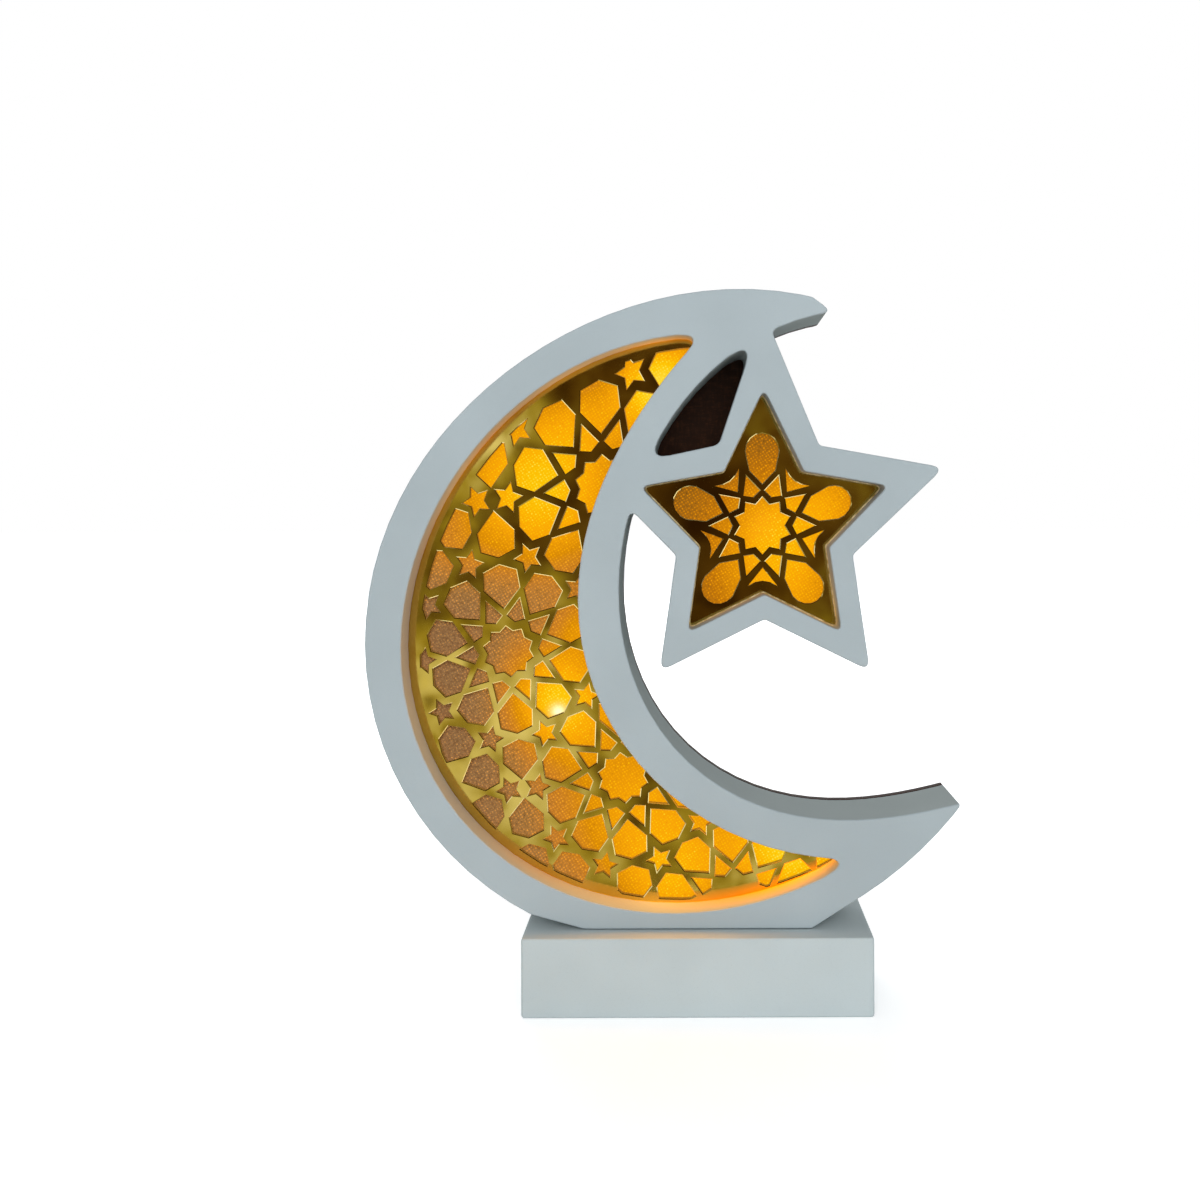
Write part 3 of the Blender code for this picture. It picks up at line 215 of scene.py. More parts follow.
# %% Softening and moving a rim
def softened(loop, sharpest=8.0, furthest=0.5 * MM, passes=2):
    """Corner cutting: a point where the line turns by more than the angle gives way to two
    points, a quarter of its shorter neighbour edge away on either side, or the furthest."""
    for _ in range(passes):
        back, ahead = np.roll(loop, 1, axis=0) - loop, np.roll(loop, -1, axis=0) - loop
        reach = np.minimum(np.linalg.norm(back, axis=1), np.linalg.norm(ahead, axis=1))[:, None]
        back /= np.linalg.norm(back, axis=1)[:, None]
        ahead /= np.linalg.norm(ahead, axis=1)[:, None]
        turn = np.degrees(np.arccos(np.clip(-(back * ahead).sum(axis=1), -1, 1)))
        cut = np.where(turn > sharpest, 1.0, 0.0)[:, None] * np.minimum(0.25 * reach, furthest)
        pair = np.stack((loop + back * cut, loop + ahead * cut), axis=1).reshape(-1, 2)
        loop = pair[np.append(True, np.linalg.norm(np.diff(pair, axis=0), axis=1) > 1e-6)]
    return loop


def moved_in(loop, distance):
    """The rim moved into the material: each point goes along the mitre of its two edges,
    (n1 + n2) / (1 + n1 . n2), times the distance. A divisor of 0.4 is the least, so that
    a sharp corner doesn't shoot out."""
    along = np.roll(loop, -1, axis=0) - loop
    along /= np.linalg.norm(along, axis=1)[:, None]
    left = np.stack((-along[:, 1], along[:, 0]), axis=1)
    before = np.roll(left, 1, axis=0)
    mitre = (left + before) / np.maximum(1 + (left * before).sum(axis=1), 0.4)[:, None]
    return loop + mitre * distance


print("rim helpers ready")

# %% [markdown]
# A wall is a rim carried down a profile, which gives a grid of points: once round the line,
# once down the profile. Blender takes the grid as four-sided faces. A flat face with holes
# in it is triangulated between its rims instead.


# %% Grids of faces
def grid(points, closed=False):
    """Patch of four-sided faces over rows and columns of points."""
    rows, columns = points.shape[:2]
    number = np.arange(rows * columns).reshape(rows, columns)
    if closed:
        number = np.hstack((number, number[:, :1]))
    faces = np.stack((number[:-1, :-1], number[:-1, 1:], number[1:, 1:], number[1:, :-1]), axis=-1)
    return points.reshape(-1, 3), faces.reshape(-1, 4)


def wall(loop, profile):
    """A rim carried down a profile of (distance into the material, level) steps."""
    rows = [np.insert(moved_in(loop, inward), 1, level, axis=1) for inward, level in profile]
    return grid(np.array(rows), closed=True)


def quarter(radius, level, deeper=1.0, steps=4):
    """A quarter-round edge profile: inward r(1 - sin t), level r(1 - cos t) deeper."""
    turn = np.linspace(0, math.pi / 2, steps + 1)
    return list(zip(radius * (1 - np.sin(turn)), level + deeper * radius * (1 - np.cos(turn))))


def floor_between(loops, level):
    """Flat face between rims: a triangulation that keeps what lies inside an odd number of
    them."""
    turned = [loop if area(loop) > 0 else loop[::-1] for loop in loops]
    ends = np.cumsum([0] + [len(loop) for loop in turned])
    points = [Vector(point) for point in np.concatenate(turned).tolist()]
    faces = [list(range(first, last)) for first, last in zip(ends[:-1], ends[1:])]
    spots, _, kept, _, _, inside = geometry.delaunay_2d_cdt(points, [], faces, 1, 1e-8, True)
    spots = np.insert(np.array([tuple(spot) for spot in spots]), 1, level, axis=1)
    return spots, np.array([face for face, count in zip(kept, inside) if len(count) % 2])


print("surface helpers ready")

# %% [markdown]
# Patches become one closed piece. Points that meet are merged, the faces are turned
# outwards, and edges sharper than a given angle keep a crisp line while the rest shade
# smoothly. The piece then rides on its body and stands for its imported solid.


# %% A finished piece
MERGED, NO_WIDTH = 0.0005 * MM, 0.0002 * MM


def into_scene(name, data):
    """A new object at the origin, in the scene."""
    made = bpy.data.objects.new(name, data)
    bpy.context.scene.collection.objects.link(made)
    return made


def add_piece(name, patches, finishes, nodes=(), sharp=38.0, even=True):
    """Joins patches of points and faces into one closed piece with its faces outwards.
    Each patch is (points, faces) or (points, faces, finish number)."""
    first = np.cumsum([0] + [len(patch[0]) for patch in patches])
    points = np.concatenate([patch[0] for patch in patches])
    faces = [face for patch, at in zip(patches, first) for face in (patch[1] + at).tolist()]
    finish = np.concatenate([np.full(len(patch[1]), patch[2] if len(patch) > 2 else 0)
                             for patch in patches])
    mesh = bpy.data.meshes.new(name)
    mesh.from_pydata(points.tolist(), [], faces)
    for made in finishes:
        mesh.materials.append(made)
    mesh.polygons.foreach_set("material_index", finish.astype(np.int32))
    shape = bmesh.new()
    shape.from_mesh(mesh)
    bmesh.ops.remove_doubles(shape, verts=shape.verts, dist=MERGED)
    bmesh.ops.dissolve_degenerate(shape, edges=shape.edges, dist=NO_WIDTH)
    bmesh.ops.recalc_face_normals(shape, faces=shape.faces)
    shape.to_mesh(mesh)
    shape.free()
    mesh.shade_smooth()
    mesh.set_sharp_from_angle(angle=math.radians(sharp))
    piece = into_scene(name, mesh)
    if even:
        shading = piece.modifiers.new("even_shading", "WEIGHTED_NORMAL")
        shading.keep_sharp = True
    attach(piece, "sign")
    if nodes:
        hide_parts(*nodes)
    print(name, len(mesh.polygons), "faces")
    return piece


print("piece helper ready")

# %% [markdown]
# Painted fibreboard. The real board is routed from medium-density fibreboard, sanded and
# sprayed with a matt, cool grey-white paint. Spray leaves a shallow orange peel and a faint
# cloudiness. A flat colour would look like plastic, so the colour follows a slow and a very
# fine noise, and gloss and relief follow the peel. The routed edge drinks more paint and
# dries rougher, so the walls get their own mix; its colour is set darker, partly for the
# paint it drinks and partly as painted shade on the walls. Deep in the windows, next to the
# lit sheet, amber is mixed into the paint as painted lamp light.


# %% Matt paint on fibreboard
def matt_paint(name, colour, rough, shine, peel_depth):
    """Sprayed matt paint: cloudiness over 40 mm, orange peel at 1.2 mm and pores at 0.35 mm.
    The stored share of painted lamp light turns it amber."""
    made, tree, place = new_material(name)
    cloud, peel, pores = (node(tree, "ShaderNodeTexNoise", Vector=place,
                               Scale=1 / (grain * MM), Detail=detail)
                          for grain, detail in ((40, 2.0), (1.2, 3.0), (0.35, 2.0)))
    tint = node(tree, "ShaderNodeValToRGB", {"stops": [
        (0.3, linear(colour, 0.95)), (0.7, linear(colour, 1.04))]}, Fac=cloud)
    fleck = node(tree, "ShaderNodeValToRGB", {"stops": [(0.25, "#F6F6F6"), (0.4, "#FFFFFF")]},
                 Fac=pores)
    coat = node(tree, "ShaderNodeMix", {"data_type": "RGBA", "blend_type": "MULTIPLY"},
                Factor=1.0, A=tint, B=fleck)
    # Painted lamp light: amber mixed into the paint by the share stored on the points.
    soaked = node(tree, "ShaderNodeAttribute", {"attribute_name": "soaked"}).outputs["Fac"]
    coat = node(tree, "ShaderNodeMix", {"data_type": "RGBA"}, Factor=soaked, A=coat, B="#E0A818")
    finish_with(tree, coat, (peel, rough, rough + 0.15), (peel, peel_depth, 0.6), IOR=1.5,
                Specular_IOR_Level=shine)
    return made


board_paint = matt_paint("matt_paint_on_fibreboard", "#A4B0B5", 0.6, 0.25, 0.04 * MM)
# The walls' paint is darker: partly the paint the routed edge drinks, partly painted shade.
edge_paint_and_shade = matt_paint("matt_paint_on_routed_edge_and_painted_shade", "#9FA8A8", 0.75, 0.0, 0.10 * MM)
# The foot's copy of the same paint is set lighter: painted light on the foot.
lit_base_paint = matt_paint("matt_paint_on_base_painted_lighter", "#B7C3C6", 0.6, 0.25, 0.04 * MM)
print("paints", board_paint.name, edge_paint_and_shade.name, lit_base_paint.name)

# %% [markdown]
# The board is one plate with the moon and star cut out together. Its windows are stepped:
# a narrow lip in front, a wider rebate behind it that holds the panels. The front and back
# edges are broken with sandpaper, so each rim runs down a 0.6 mm quarter round. The foot is
# planed flat: the rim's points within half a millimetre of its lowest level go down to it.

# %% Crescent and star board
FRONT, BACK = (corner[1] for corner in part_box("moon_star_board"))
SHOULDER = FRONT + 10.5 * MM
HALFWAY = FRONT + 5 * MM
REBATE = 2.0 * MM
EASE = 0.6 * MM
FOOT_RIGHT = 37.5 * MM
PLANED = 0.5 * MM
board_rims = rims("moon_star_board")
foot = board_rims[0][:, 1].min()
planed = (board_rims[0][:, 1] < foot + PLANED) & (board_rims[0][:, 0] < FOOT_RIGHT)
board_rims[0][planed, 1] = foot
outer, moon_window, star_window, leaf = [softened(loop) for loop in board_rims[:4]]
windows = [moon_window, star_window]
patches = []
for loop in (outer, leaf):
    patches += [wall(loop, quarter(EASE, FRONT)),
                (*wall(loop, [(0.0, FRONT + EASE), (0.0, BACK - EASE)]), 1),
                wall(loop, quarter(EASE, BACK, -1.0))]
for loop in windows:
    wide = moved_in(loop, REBATE)
    patches += [wall(loop, quarter(EASE, FRONT)),
                (*wall(loop, [(0.0, FRONT + EASE), (0.0, HALFWAY), (0.0, SHOULDER)]), 1),
                (*wall(wide, [(0.0, SHOULDER), (0.0, BACK)]), 1),
                (*floor_between([loop, wide], SHOULDER), 1)]
edged = [moved_in(loop, EASE) for loop in (outer, leaf)]
patches += [floor_between(edged + [moved_in(loop, inward) for loop in windows], level)
            for inward, level in ((EASE, FRONT), (REBATE, BACK))]
board = add_piece("painted_board", patches, [board_paint, edge_paint_and_shade],
                  nodes=["moon_star_board"])

# %% [markdown]
# The foot is a block of the same board, painted in the same run. Its paint is set a touch
# lighter than the board's, as painted light on the foot. Its twelve edges are sanded round.
# A rounded box is a rectangle with round corners carried over a quarter round at the top
# and at the underside. Two sunk bores in the underside take the heads of the screws that
# hold the board.

# %% Base block
low, high = np.array(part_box("base_block"))
EDGE = 0.8 * MM
CORNER = 1.2 * MM
BORE_RADIUS, BORE_DEPTH = 4.3 * MM, 12 * MM
turn = np.linspace(0, 2 * math.pi, 32, endpoint=False) + math.pi / 32
round_corner = np.stack((np.cos(turn), np.sin(turn)), axis=1) * CORNER
plan = round_corner + np.sign(round_corner) * (np.array((high[0], high[1])) - CORNER)
rows = [np.insert(moved_in(plan, inward), 2, level, axis=1)
        for inward, level in quarter(EDGE, high[2], -1.0) + quarter(EDGE, low[2])[::-1]]
middles = [(np.array(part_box(f"base_screw_{index}")).sum(axis=0) / 2)[:2] for index in (1, 2)]
ring = np.linspace(0, 2 * math.pi, 40, endpoint=False)
bore_rims = [spot + BORE_RADIUS * np.stack((np.cos(ring), -np.sin(ring)), axis=1)
             for spot in middles]
patches = [grid(np.array(rows), closed=True)]
flats = [([moved_in(plan, EDGE)], high[2]), ([moved_in(plan, EDGE), *bore_rims], low[2])]
flats += [([rim], low[2] + BORE_DEPTH) for rim in bore_rims]
for loops, level in flats:
    spots, faces = floor_between(loops, level)
    patches.append((spots[:, [0, 2, 1]], faces))
for rim in bore_rims:
    sides = [np.insert(rim, 2, level, axis=1) for level in (low[2], low[2] + BORE_DEPTH)]
    patches.append(grid(np.array(sides), closed=True))
add_piece("painted_base", patches, [lit_base_paint], nodes=["base_block"])

# %% [markdown]
# Gold mirror. The fretwork is laser cut from acrylic with a mirrored gold face, 2 mm thick.
# A mirror has almost no colour of its own: it tints what stands in front of it, bright
# yellow-green gold where that is pale and brown where it is dark. So the metal gets the
# gold, a very low roughness, and a slight waviness that bends reflections.


# %% Gold mirror
def gold_mirror(name, dark, light):
    """Mirror-coated acrylic: sheet waviness over 22 mm, wiped haze over 9 mm."""
    made, tree, place = new_material(name)
    haze = node(tree, "ShaderNodeTexNoise", Vector=place, Scale=1 / (9 * MM), Detail=4.0)
    wave = node(tree, "ShaderNodeTexNoise", Vector=place, Scale=1 / (22 * MM), Detail=1.0)
    finish_with(tree, (haze, (0.3, dark), (0.75, light)),
                (haze, 0.05, 0.13), (wave, 0.4 * MM, 0.5), Metallic=1.0)
    return made


mirror = gold_mirror("gold_mirror_acrylic", "#D6BC56", "#E2CB70")
thinned = gold_mirror("thinned_gold_on_bevels", "#DDC878", "#EBDA9C")
print("mirrors", mirror.name, thinned.name)

# %% [markdown]
# The laser cuts through the clear sheet behind the coating. The melt clouds the wall every
# 0.4 mm, and light from the lamps runs inside it, so it glows a little.

# %% Cut edge
melted_edge = one_grain("laser_cut_acrylic_edge", "#8A6420", "#C9A24A", 0.4 * MM,
                        gloss=(0.2, 0.4), glow=0.15, IOR=1.49)
print("cut edge", melted_edge.name)

# %% [markdown]
# Each fretwork panel keeps the exact cells of its solid. Only the rims change: the laser
# melts a 0.25 mm bevel round every cell, where the coating is thin and paler. It leans 31
# degrees, so it mirrors what lies well above, below or beside the sign, and shows as a fine
# bright line on one side of a cell and a dark one on the other.


# %% Fretwork panels
def fretwork(name, source):
    """A panel from the rims of its solid: bevelled front rims, straight cut walls, back."""
    front, back = (corner[1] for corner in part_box(source))
    bevel, depth = 0.25 * MM, 0.15 * MM
    loops = rims(source)
    made = [(*wall(loop, [(bevel, front), (0.0, front + depth)]), 2) for loop in loops]
    made += [(*wall(loop, [(0.0, front + depth), (0.0, back)]), 1) for loop in loops]
    made.append(floor_between([moved_in(loop, bevel) for loop in loops], front))
    made.append((*floor_between(loops, back), 1))
    add_piece(name, made, [mirror, melted_edge, thinned], nodes=[source],
              sharp=20.0, even=False)


fretwork("moon_fretwork", "moon_fret_panel")
fretwork("star_fretwork", "star_fret_panel")

# %% [markdown]
# A fine bead of clear glue seals the star's panel into the corner of its window. Dried, it
# is glossy, rippled every 2 mm and cream where light runs in it, so it shows as a thin pale
# line beside the dark mirror. Its section is a three-cornered fillet, carried once round
# the window's rim and kept a hair off the wall and the panel.

# %% Glue bead
BEAD, HAIR = 0.42 * MM, 0.02 * MM
clear_glue = one_grain("dried_clear_glue", "#A88C48", "#F2E2B0", 2 * MM,
                       relief=(0.1 * MM, 0.5), glow=0.12, Roughness=0.25, IOR=1.48)
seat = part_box("star_fret_panel")[0][1] - HAIR
corners = [(-HAIR, seat), (-HAIR, seat - BEAD), (-BEAD, seat)]
add_piece("star_glue_bead", [wall(star_window, corners + corners[:1])], [clear_glue],
          even=False)

# %% [markdown]
# The light sheet behind the fretwork glows where the lamps stand. The glow is a sum of
# soft pools, each a bell curve round its middle. It is stored on the sheet's own points,
# so it stays with the piece in any view.

# %% Pools of light
MOON_POOLS = np.array([(-10.6, 204.2, 18.3, 1.45), (-52.7, 169.9, 31.9, 1.3),
                       (-38.8, 193.1, 13.3, 0.26), (-47.3, 99.1, 18.2, 1.15),
                       (-37.7, 122.9, 9.9, 0.49), (-17.7, 61, 37.3, 0.97),
                       (-7.3, 35.1, 16.6, 0.54), (33.7, 47.8, 21.4, 1.3),
                       (-86, 148, 14, 0.24), (-62, 115, 9, 0.12)])
STAR_POOLS = np.array([(27, 154, 17, 0.52), (46, 165, 14, 0.42),
                       (30, 131, 22, 0.46), (22.2, 156, 60, 0.47)])
HOT_SPOT = np.array([(-46.5, 94.3, 2.1, 1.0)])


def pooled(places, pools):
    """Sum over the pools of strength times exp(-(distance / reach) squared). A pool is x, z,
    reach and strength, in millimetres, and the places are x and z in metres."""
    apart = places[:, None, :] / MM - pools[None, :, :2]
    return (pools[:, 3] * np.exp(-(apart ** 2).sum(axis=2) / pools[:, 2] ** 2)).sum(axis=1)


print("pools", len(MOON_POOLS), len(STAR_POOLS))

# %% [markdown]
# The sheet is a thin plastic weave. Away from the lamps it looks pinkish brown; over them
# it glows amber, and one lamp nearly burns through. Real threads are finer than the render
# can show, so they are drawn 0.95 mm apart, just wide enough to sparkle.


# %% Woven light sheet
THREAD = 0.95 * MM


def light_weave(name, dark, light, fade_from, fade_to):
    """Threads that cross at right angles, glints between them, and a colour that goes from
    plain cloth to amber with the stored glow. The cloth colour is set by that light: it darkens
    to brown between two glows."""
    made, tree, place = new_material(name)
    glow = node(tree, "ShaderNodeAttribute", {"attribute_name": "glow"}).outputs["Fac"]
    hot = node(tree, "ShaderNodeAttribute", {"attribute_name": "hot_spot"}).outputs["Fac"]
    turned = node(tree, "ShaderNodeMapping", Vector=place, Rotation=(0, math.radians(32), 0))
    warp, weft = (node(tree, "ShaderNodeTexWave", {"bands_direction": way}, Vector=turned,
                       Scale=math.pi / (10 * THREAD), Distortion=2.4, Detail=1.0,
                       Detail_Scale=0.5) for way in ("X", "Z"))
    weave = node(tree, "ShaderNodeMath", {"operation": "MULTIPLY"}, in_0=warp, in_1=weft)
    glint = node(tree, "ShaderNodeTexNoise", Vector=place, Scale=1 / (0.9 * MM), Detail=2.0)
    bright = node(tree, "ShaderNodeMapRange", Value=glint, From_Min=0.3, From_Max=0.7,
                  To_Min=-0.16, To_Max=0.6)
    grain = node(tree, "ShaderNodeMath", {"operation": "MULTIPLY"}, in_0=weave, in_1=bright)
    level = node(tree, "ShaderNodeMath", {"operation": "ADD"}, in_0=grain, in_1=glow)
    half = node(tree, "ShaderNodeMapRange", Value=level, From_Max=2.0)
    lit = node(tree, "ShaderNodeValToRGB", {"stops": [
        (0.02, "#000000"), (0.06, "#1E1200"), (0.165, "#6E4A10"), (0.205, "#8F5C12"),
        (0.29, "#B87006"), (0.4, "#DC8E06"), (0.51, "#F7A406"), (0.59, "#FBB004"),
        (0.69, "#FCCB06"), (0.86, "#FFE650")]}, Fac=half)
    burnt = node(tree, "ShaderNodeMix", {"data_type": "RGBA"}, Factor=hot, A=lit,
                 B=linear("#FFF6C0", 1.4))
    cloth = node(tree, "ShaderNodeValToRGB", {"stops": [(0.35, dark), (0.65, light)]}, Fac=glint)
    # The cloth colour gives way to dark brown where the stored glow is strong: a colour set by the
    # light, not the cloth's own.
    glow_fade = node(tree, "ShaderNodeMapRange", Value=glow, From_Min=fade_from, From_Max=fade_to)
    cloth_under_glow = node(tree, "ShaderNodeMix", {"data_type": "RGBA"}, Factor=glow_fade, A=cloth, B="#2A1200")
    finish_with(tree, cloth_under_glow, relief=(weave, 0.15 * MM, 0.7), Roughness=0.75,
                Specular_IOR_Level=0.1, Emission_Color=burnt, Emission_Strength=1.0)
    return made


moon_weave = light_weave("woven_light_sheet_pink", "#B88656", "#D2A06C", 0.15, 0.75)
star_weave = light_weave("woven_light_sheet_amber", "#62380A", "#7C4A12", 0.3, 0.9)
print("weaves", moon_weave.name, star_weave.name)

# %% [markdown]
# A sheet has to hold the glow on its points, so it is a fine grid and not one flat face.
# The moon's sheet is ruled between the two long sides of its window: row by row from one
# horn to the other, and across from the rim to the hollow.


# %% Ruled lines of the moon's sheet
# The upper horn's tip lies furthest up, leaning right, and the lower one's furthest right,
# leaning down.
LEAN = 0.3
MOON_GRID = 260, 60


def evenly(line, count):
    """A line sampled again at even steps of its length."""
    gone = np.append(0, np.cumsum(np.linalg.norm(np.diff(line, axis=0), axis=1)))
    steps = np.linspace(0, gone[-1], count)
    return np.stack([np.interp(steps, gone, line[:, axis]) for axis in (0, 1)], axis=1)


sheet_rim = rims("moon_diffuser")[0]
upper_horn = int(np.argmax(sheet_rim[:, 1] + LEAN * sheet_rim[:, 0]))
rolled = np.roll(sheet_rim, -upper_horn, axis=0)
lower_horn = int(np.argmax(rolled[:, 0] - LEAN * rolled[:, 1]))


def moon_rows(along, across):
    """Rows of points from the rim side to the hollow side of the moon's window."""
    rim_side = evenly(rolled[:lower_horn + 1], along)
    hollow_side = evenly(np.vstack((rolled[lower_horn:], rolled[:1]))[::-1], along)
    share = np.linspace(0, 1, across)[:, None, None]
    return rim_side * (1 - share) + hollow_side * share


print("moon rows", moon_rows(*MOON_GRID).shape)

# %% [markdown]
# The star's sheet runs from the star's middle out to its outline: ring after ring of the
# outline's own shape, each a little larger.

# %% Rings of the star's sheet
STAR_GRID = 240, 43
star_rim = rims("star_diffuser")[0]
star_middle = star_rim.mean(axis=0)


def star_rings(around, rings):
    """Rings of points: the middle plus a growing share of the way to the outline."""
    outline = evenly(np.vstack((star_rim, star_rim[:1])), around + 1)[:-1]
    share = np.linspace(0, 1, rings + 1)[1:, None, None]
    return star_middle + share * (outline - star_middle)


print("star rings", star_rings(*STAR_GRID).shape)

# %% [markdown]
# Both sheets are plates: a front layer, the same layer again behind it, and an edge round
# them. The glow is then worked out at every point and stored.


# %% Light sheets
def store(mesh, **shares):
    """Keeps named values, one for each of the mesh's points."""
    for title, values in shares.items():
        mesh.attributes.new(title, "FLOAT", "POINT").data.foreach_set(
            "value", values.astype(np.float32))


def store_glow(mesh, pools):
    """Keeps the glow and the hot spot of the pools at the mesh's points."""
    flat = places_of(mesh)[:, ::2]
    store(mesh, glow=pooled(flat, pools), hot_spot=pooled(flat, HOT_SPOT))


moon_layers = [np.insert(moon_rows(*MOON_GRID), 1, corner[1], axis=2)
               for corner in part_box("moon_diffuser")]
edge = [np.concatenate((layer[0], layer[1:, -1], layer[-1, -2::-1], layer[-2:0:-1, 0]))
        for layer in moon_layers]
moon_patches = [*map(grid, moon_layers), grid(np.array(edge), closed=True)]
star_layers = [np.insert(star_rings(*STAR_GRID), 1, corner[1], axis=2)
               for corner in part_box("star_diffuser")]
star_patches = [grid(layer, closed=True) for layer in star_layers]
star_patches += [floor_between([layer[0][:, ::2]], layer[0, 0, 1]) for layer in star_layers]
star_patches.append(grid(np.array([layer[-1] for layer in star_layers]), closed=True))
for title, patches, weave, pools in (("moon", moon_patches, moon_weave, MOON_POOLS),
                                     ("star", star_patches, star_weave, STAR_POOLS)):
    sheet = add_piece(f"{title}_light_sheet", patches, [weave],
                      nodes=[f"{title}_diffuser"], even=False)
    store_glow(sheet.data, pools)

# %% [markdown]
# Painted lamp light on the board's window walls: amber where they meet the sheet. How much
# is stored on the board's points: nothing at the face, full at the depth of the gold, and
# only near the brightest pools.

# %% Painted lamp light on the window walls
# Pools of painted lamp light on the walls: x, z, reach and strength in millimetres.
PAINTED_AMBER_POOLS = np.array([(24, 38, 26, 1), (-6.8, 215, 20, 0.3), (-64, 190, 26, 0.35),
                   (-55, 44, 22, 0.3), (-90, 150, 20, 0.2), (20, 133, 9, 0.5)])
places = places_of(board.data)
deep = np.clip((places[:, 1] - FRONT - EASE) / (SHOULDER - FRONT - EASE), 0, 1)
deep = np.where(places[:, 1] > SHOULDER + 0.1 * MM, 0.0, deep)
# Painted lamp light: the depth share times the pools, at most 1.
soaked = deep * np.minimum(pooled(places[:, ::2], PAINTED_AMBER_POOLS), 1.0)
store(board.data, soaked=soaked)
print("soaked points", int((soaked > 0.1).sum()))

# %% [markdown]
# The back is a thin hardboard sheet: wood fibre pressed hot into a dark brown, slightly
# glossy skin with short fibres in every direction. Two long noises at right angles, mixed
# by a slow one, give fibres that lie both ways.

# %% Hardboard
# Fibres about 0.7 mm wide and four times as long, over a slow mottling of 25 mm.
fibres, tree, place = new_material("pressed_hardboard")
upright = node(tree, "ShaderNodeMapping", Vector=place, Scale=(1.0, 1.0, 0.25))
lying = node(tree, "ShaderNodeMapping", Vector=place, Scale=(0.25, 1.0, 1.0))
fibre, cross = (node(tree, "ShaderNodeTexNoise", Vector=way, Scale=1 / (0.7 * MM),
                     Detail=5.0, Distortion=0.8) for way in (upright, lying))
slow = node(tree, "ShaderNodeTexNoise", Vector=place, Scale=1 / (25 * MM), Detail=2.0)
both = node(tree, "ShaderNodeMix", {"data_type": "FLOAT"}, Factor=slow, A=fibre, B=cross)
finish_with(tree, (both, (0.25, "#1E100A"), (0.5, "#2A170E"), (0.75, "#4A2D1B")),
            (both, 0.5, 0.8), (both, 0.06 * MM, 0.6), Specular_IOR_Level=0.3)


def dress(finish, *names):
    """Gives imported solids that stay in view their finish."""
    for name in names:
        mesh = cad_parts[name].data
        mesh.materials.clear()
        mesh.materials.append(finish)


dress(fibres, "back_board")
print("back board dressed")

# %% [markdown]
# Metals. The screws are zinc plated steel: pale grey with a faint yellow cast and a soft
# brushed haze. The contacts and springs are nickel plated, smoother and warmer. The lamp
# wire is copper under clear enamel.


# %% Plated metals
def plated(name, dark, light, rough, grain):
    """Plated metal: fine streaks one grain apart that vary colour and gloss a little."""
    return one_grain(name, dark, light, grain, (rough, rough + 0.15), (0.01 * MM, 0.5),
                     detail=3.0, pull=(1.0, 0.3, 1.0), Metallic=1.0)


zinc = plated("zinc_plated_steel", "#A9A793", "#C9C8B8", 0.25, 0.5 * MM)
nickel = plated("nickel_plated_steel", "#B9B09F", "#D9D2C3", 0.18, 0.4 * MM)
copper = plated("enamelled_copper", "#8A4A28", "#B56A3C", 0.3, 0.6 * MM)
print("metals", zinc.name, nickel.name, copper.name)

# %% [markdown]
# A screw is a profile turned round its axis. Its head carries a cross recess: the face is
# a polar grid whose height drops inside two crossing slots and slopes up to their rims.


# %% A turned screw
def fan(row):
    """Triangles from a ring of points to their middle, which close a turned piece."""
    number = np.arange(len(row))
    spokes = np.stack((np.full(len(row), len(row)), number, np.roll(number, -1)), axis=1)
    return np.vstack((row, row.mean(axis=0))), spokes


def screw(name, direction, head, profile):
    """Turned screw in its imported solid's box, its head facing the direction. Profile is
    (radius, depth below the head's face) from the head's edge to the point, where a depth
    of zero or less is counted back from the point. The recess is 0.55 of the head's radius
    deep where |x| or |y| is small, and its arms reach 0.62 of the way to the head's edge."""
    low, high = np.array(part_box(name))
    direction = np.array(direction)
    foot = np.where(direction > 0, high, np.where(direction < 0, low, (low + high) / 2))
    length = (high - low) @ np.abs(direction)
    turn = np.linspace(0, 2 * math.pi, 56, endpoint=False)
    reach = np.linspace(0.02, 1, 18)[:, None] * head
    x, y = reach * np.cos(turn), reach * np.sin(turn)
    arm = np.clip(1.6 - np.minimum(np.abs(x), np.abs(y)) / (0.16 * head), 0, 1)
    ends = np.clip((0.62 * head - np.maximum(np.abs(x), np.abs(y))) / (0.35 * head), 0, 1)
    face = np.stack((x, y, -arm * ends * 0.55 * head), axis=-1)
    radius, depth = (np.array(values)[:, None] for values in zip(*profile))
    depth = np.where(depth > 0, depth, length + depth)
    shank = np.stack(np.broadcast_arrays(radius * np.cos(turn), radius * np.sin(turn), -depth),
                     axis=-1)
    spin = np.array(Vector((0, 0, 1)).rotation_difference(Vector(direction)).to_matrix())
    rows = np.vstack((face, shank)) @ spin.T + foot
    add_piece(name, [grid(rows, closed=True), fan(rows[0]), fan(rows[-1])], [zinc],
              nodes=[name], even=False)


print("screw helper ready")

# %% [markdown]
# Nine countersunk screws hold the back, two pan heads hold the battery box and two long
# ones come up through the foot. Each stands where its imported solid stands.

# %% Screws
head, shank = 2.5 * MM, 1.25 * MM
for index in range(1, 10):
    screw(f"back_board_screw_{index}", (0, 1, 0), head * 0.97,
          [(head, 0.08 * MM), (shank, head - shank), (shank, -2 * MM), (0.3 * shank, 0)])
for index in (1, 2):
    head, shank = 2.45 * MM, 1.25 * MM
    screw(f"battery_box_screw_{index}", (0, 1, 0), head * 0.75,
          [(head * 0.92, 0.3 * MM), (head, 0.8 * MM), (head, 1.4 * MM), (shank, 1.4 * MM),
           (shank, -1 * MM), (0.3 * shank, 0)])
    head, shank = 3.65 * MM, 1.7 * MM
    screw(f"base_screw_{index}", (0, 0, -1), head * 0.75,
          [(head * 0.92, 0.5 * MM), (head, 1.2 * MM), (head, 2.4 * MM), (shank, 2.4 * MM),
           (shank, -3 * MM), (0.2 * shank, 0)])

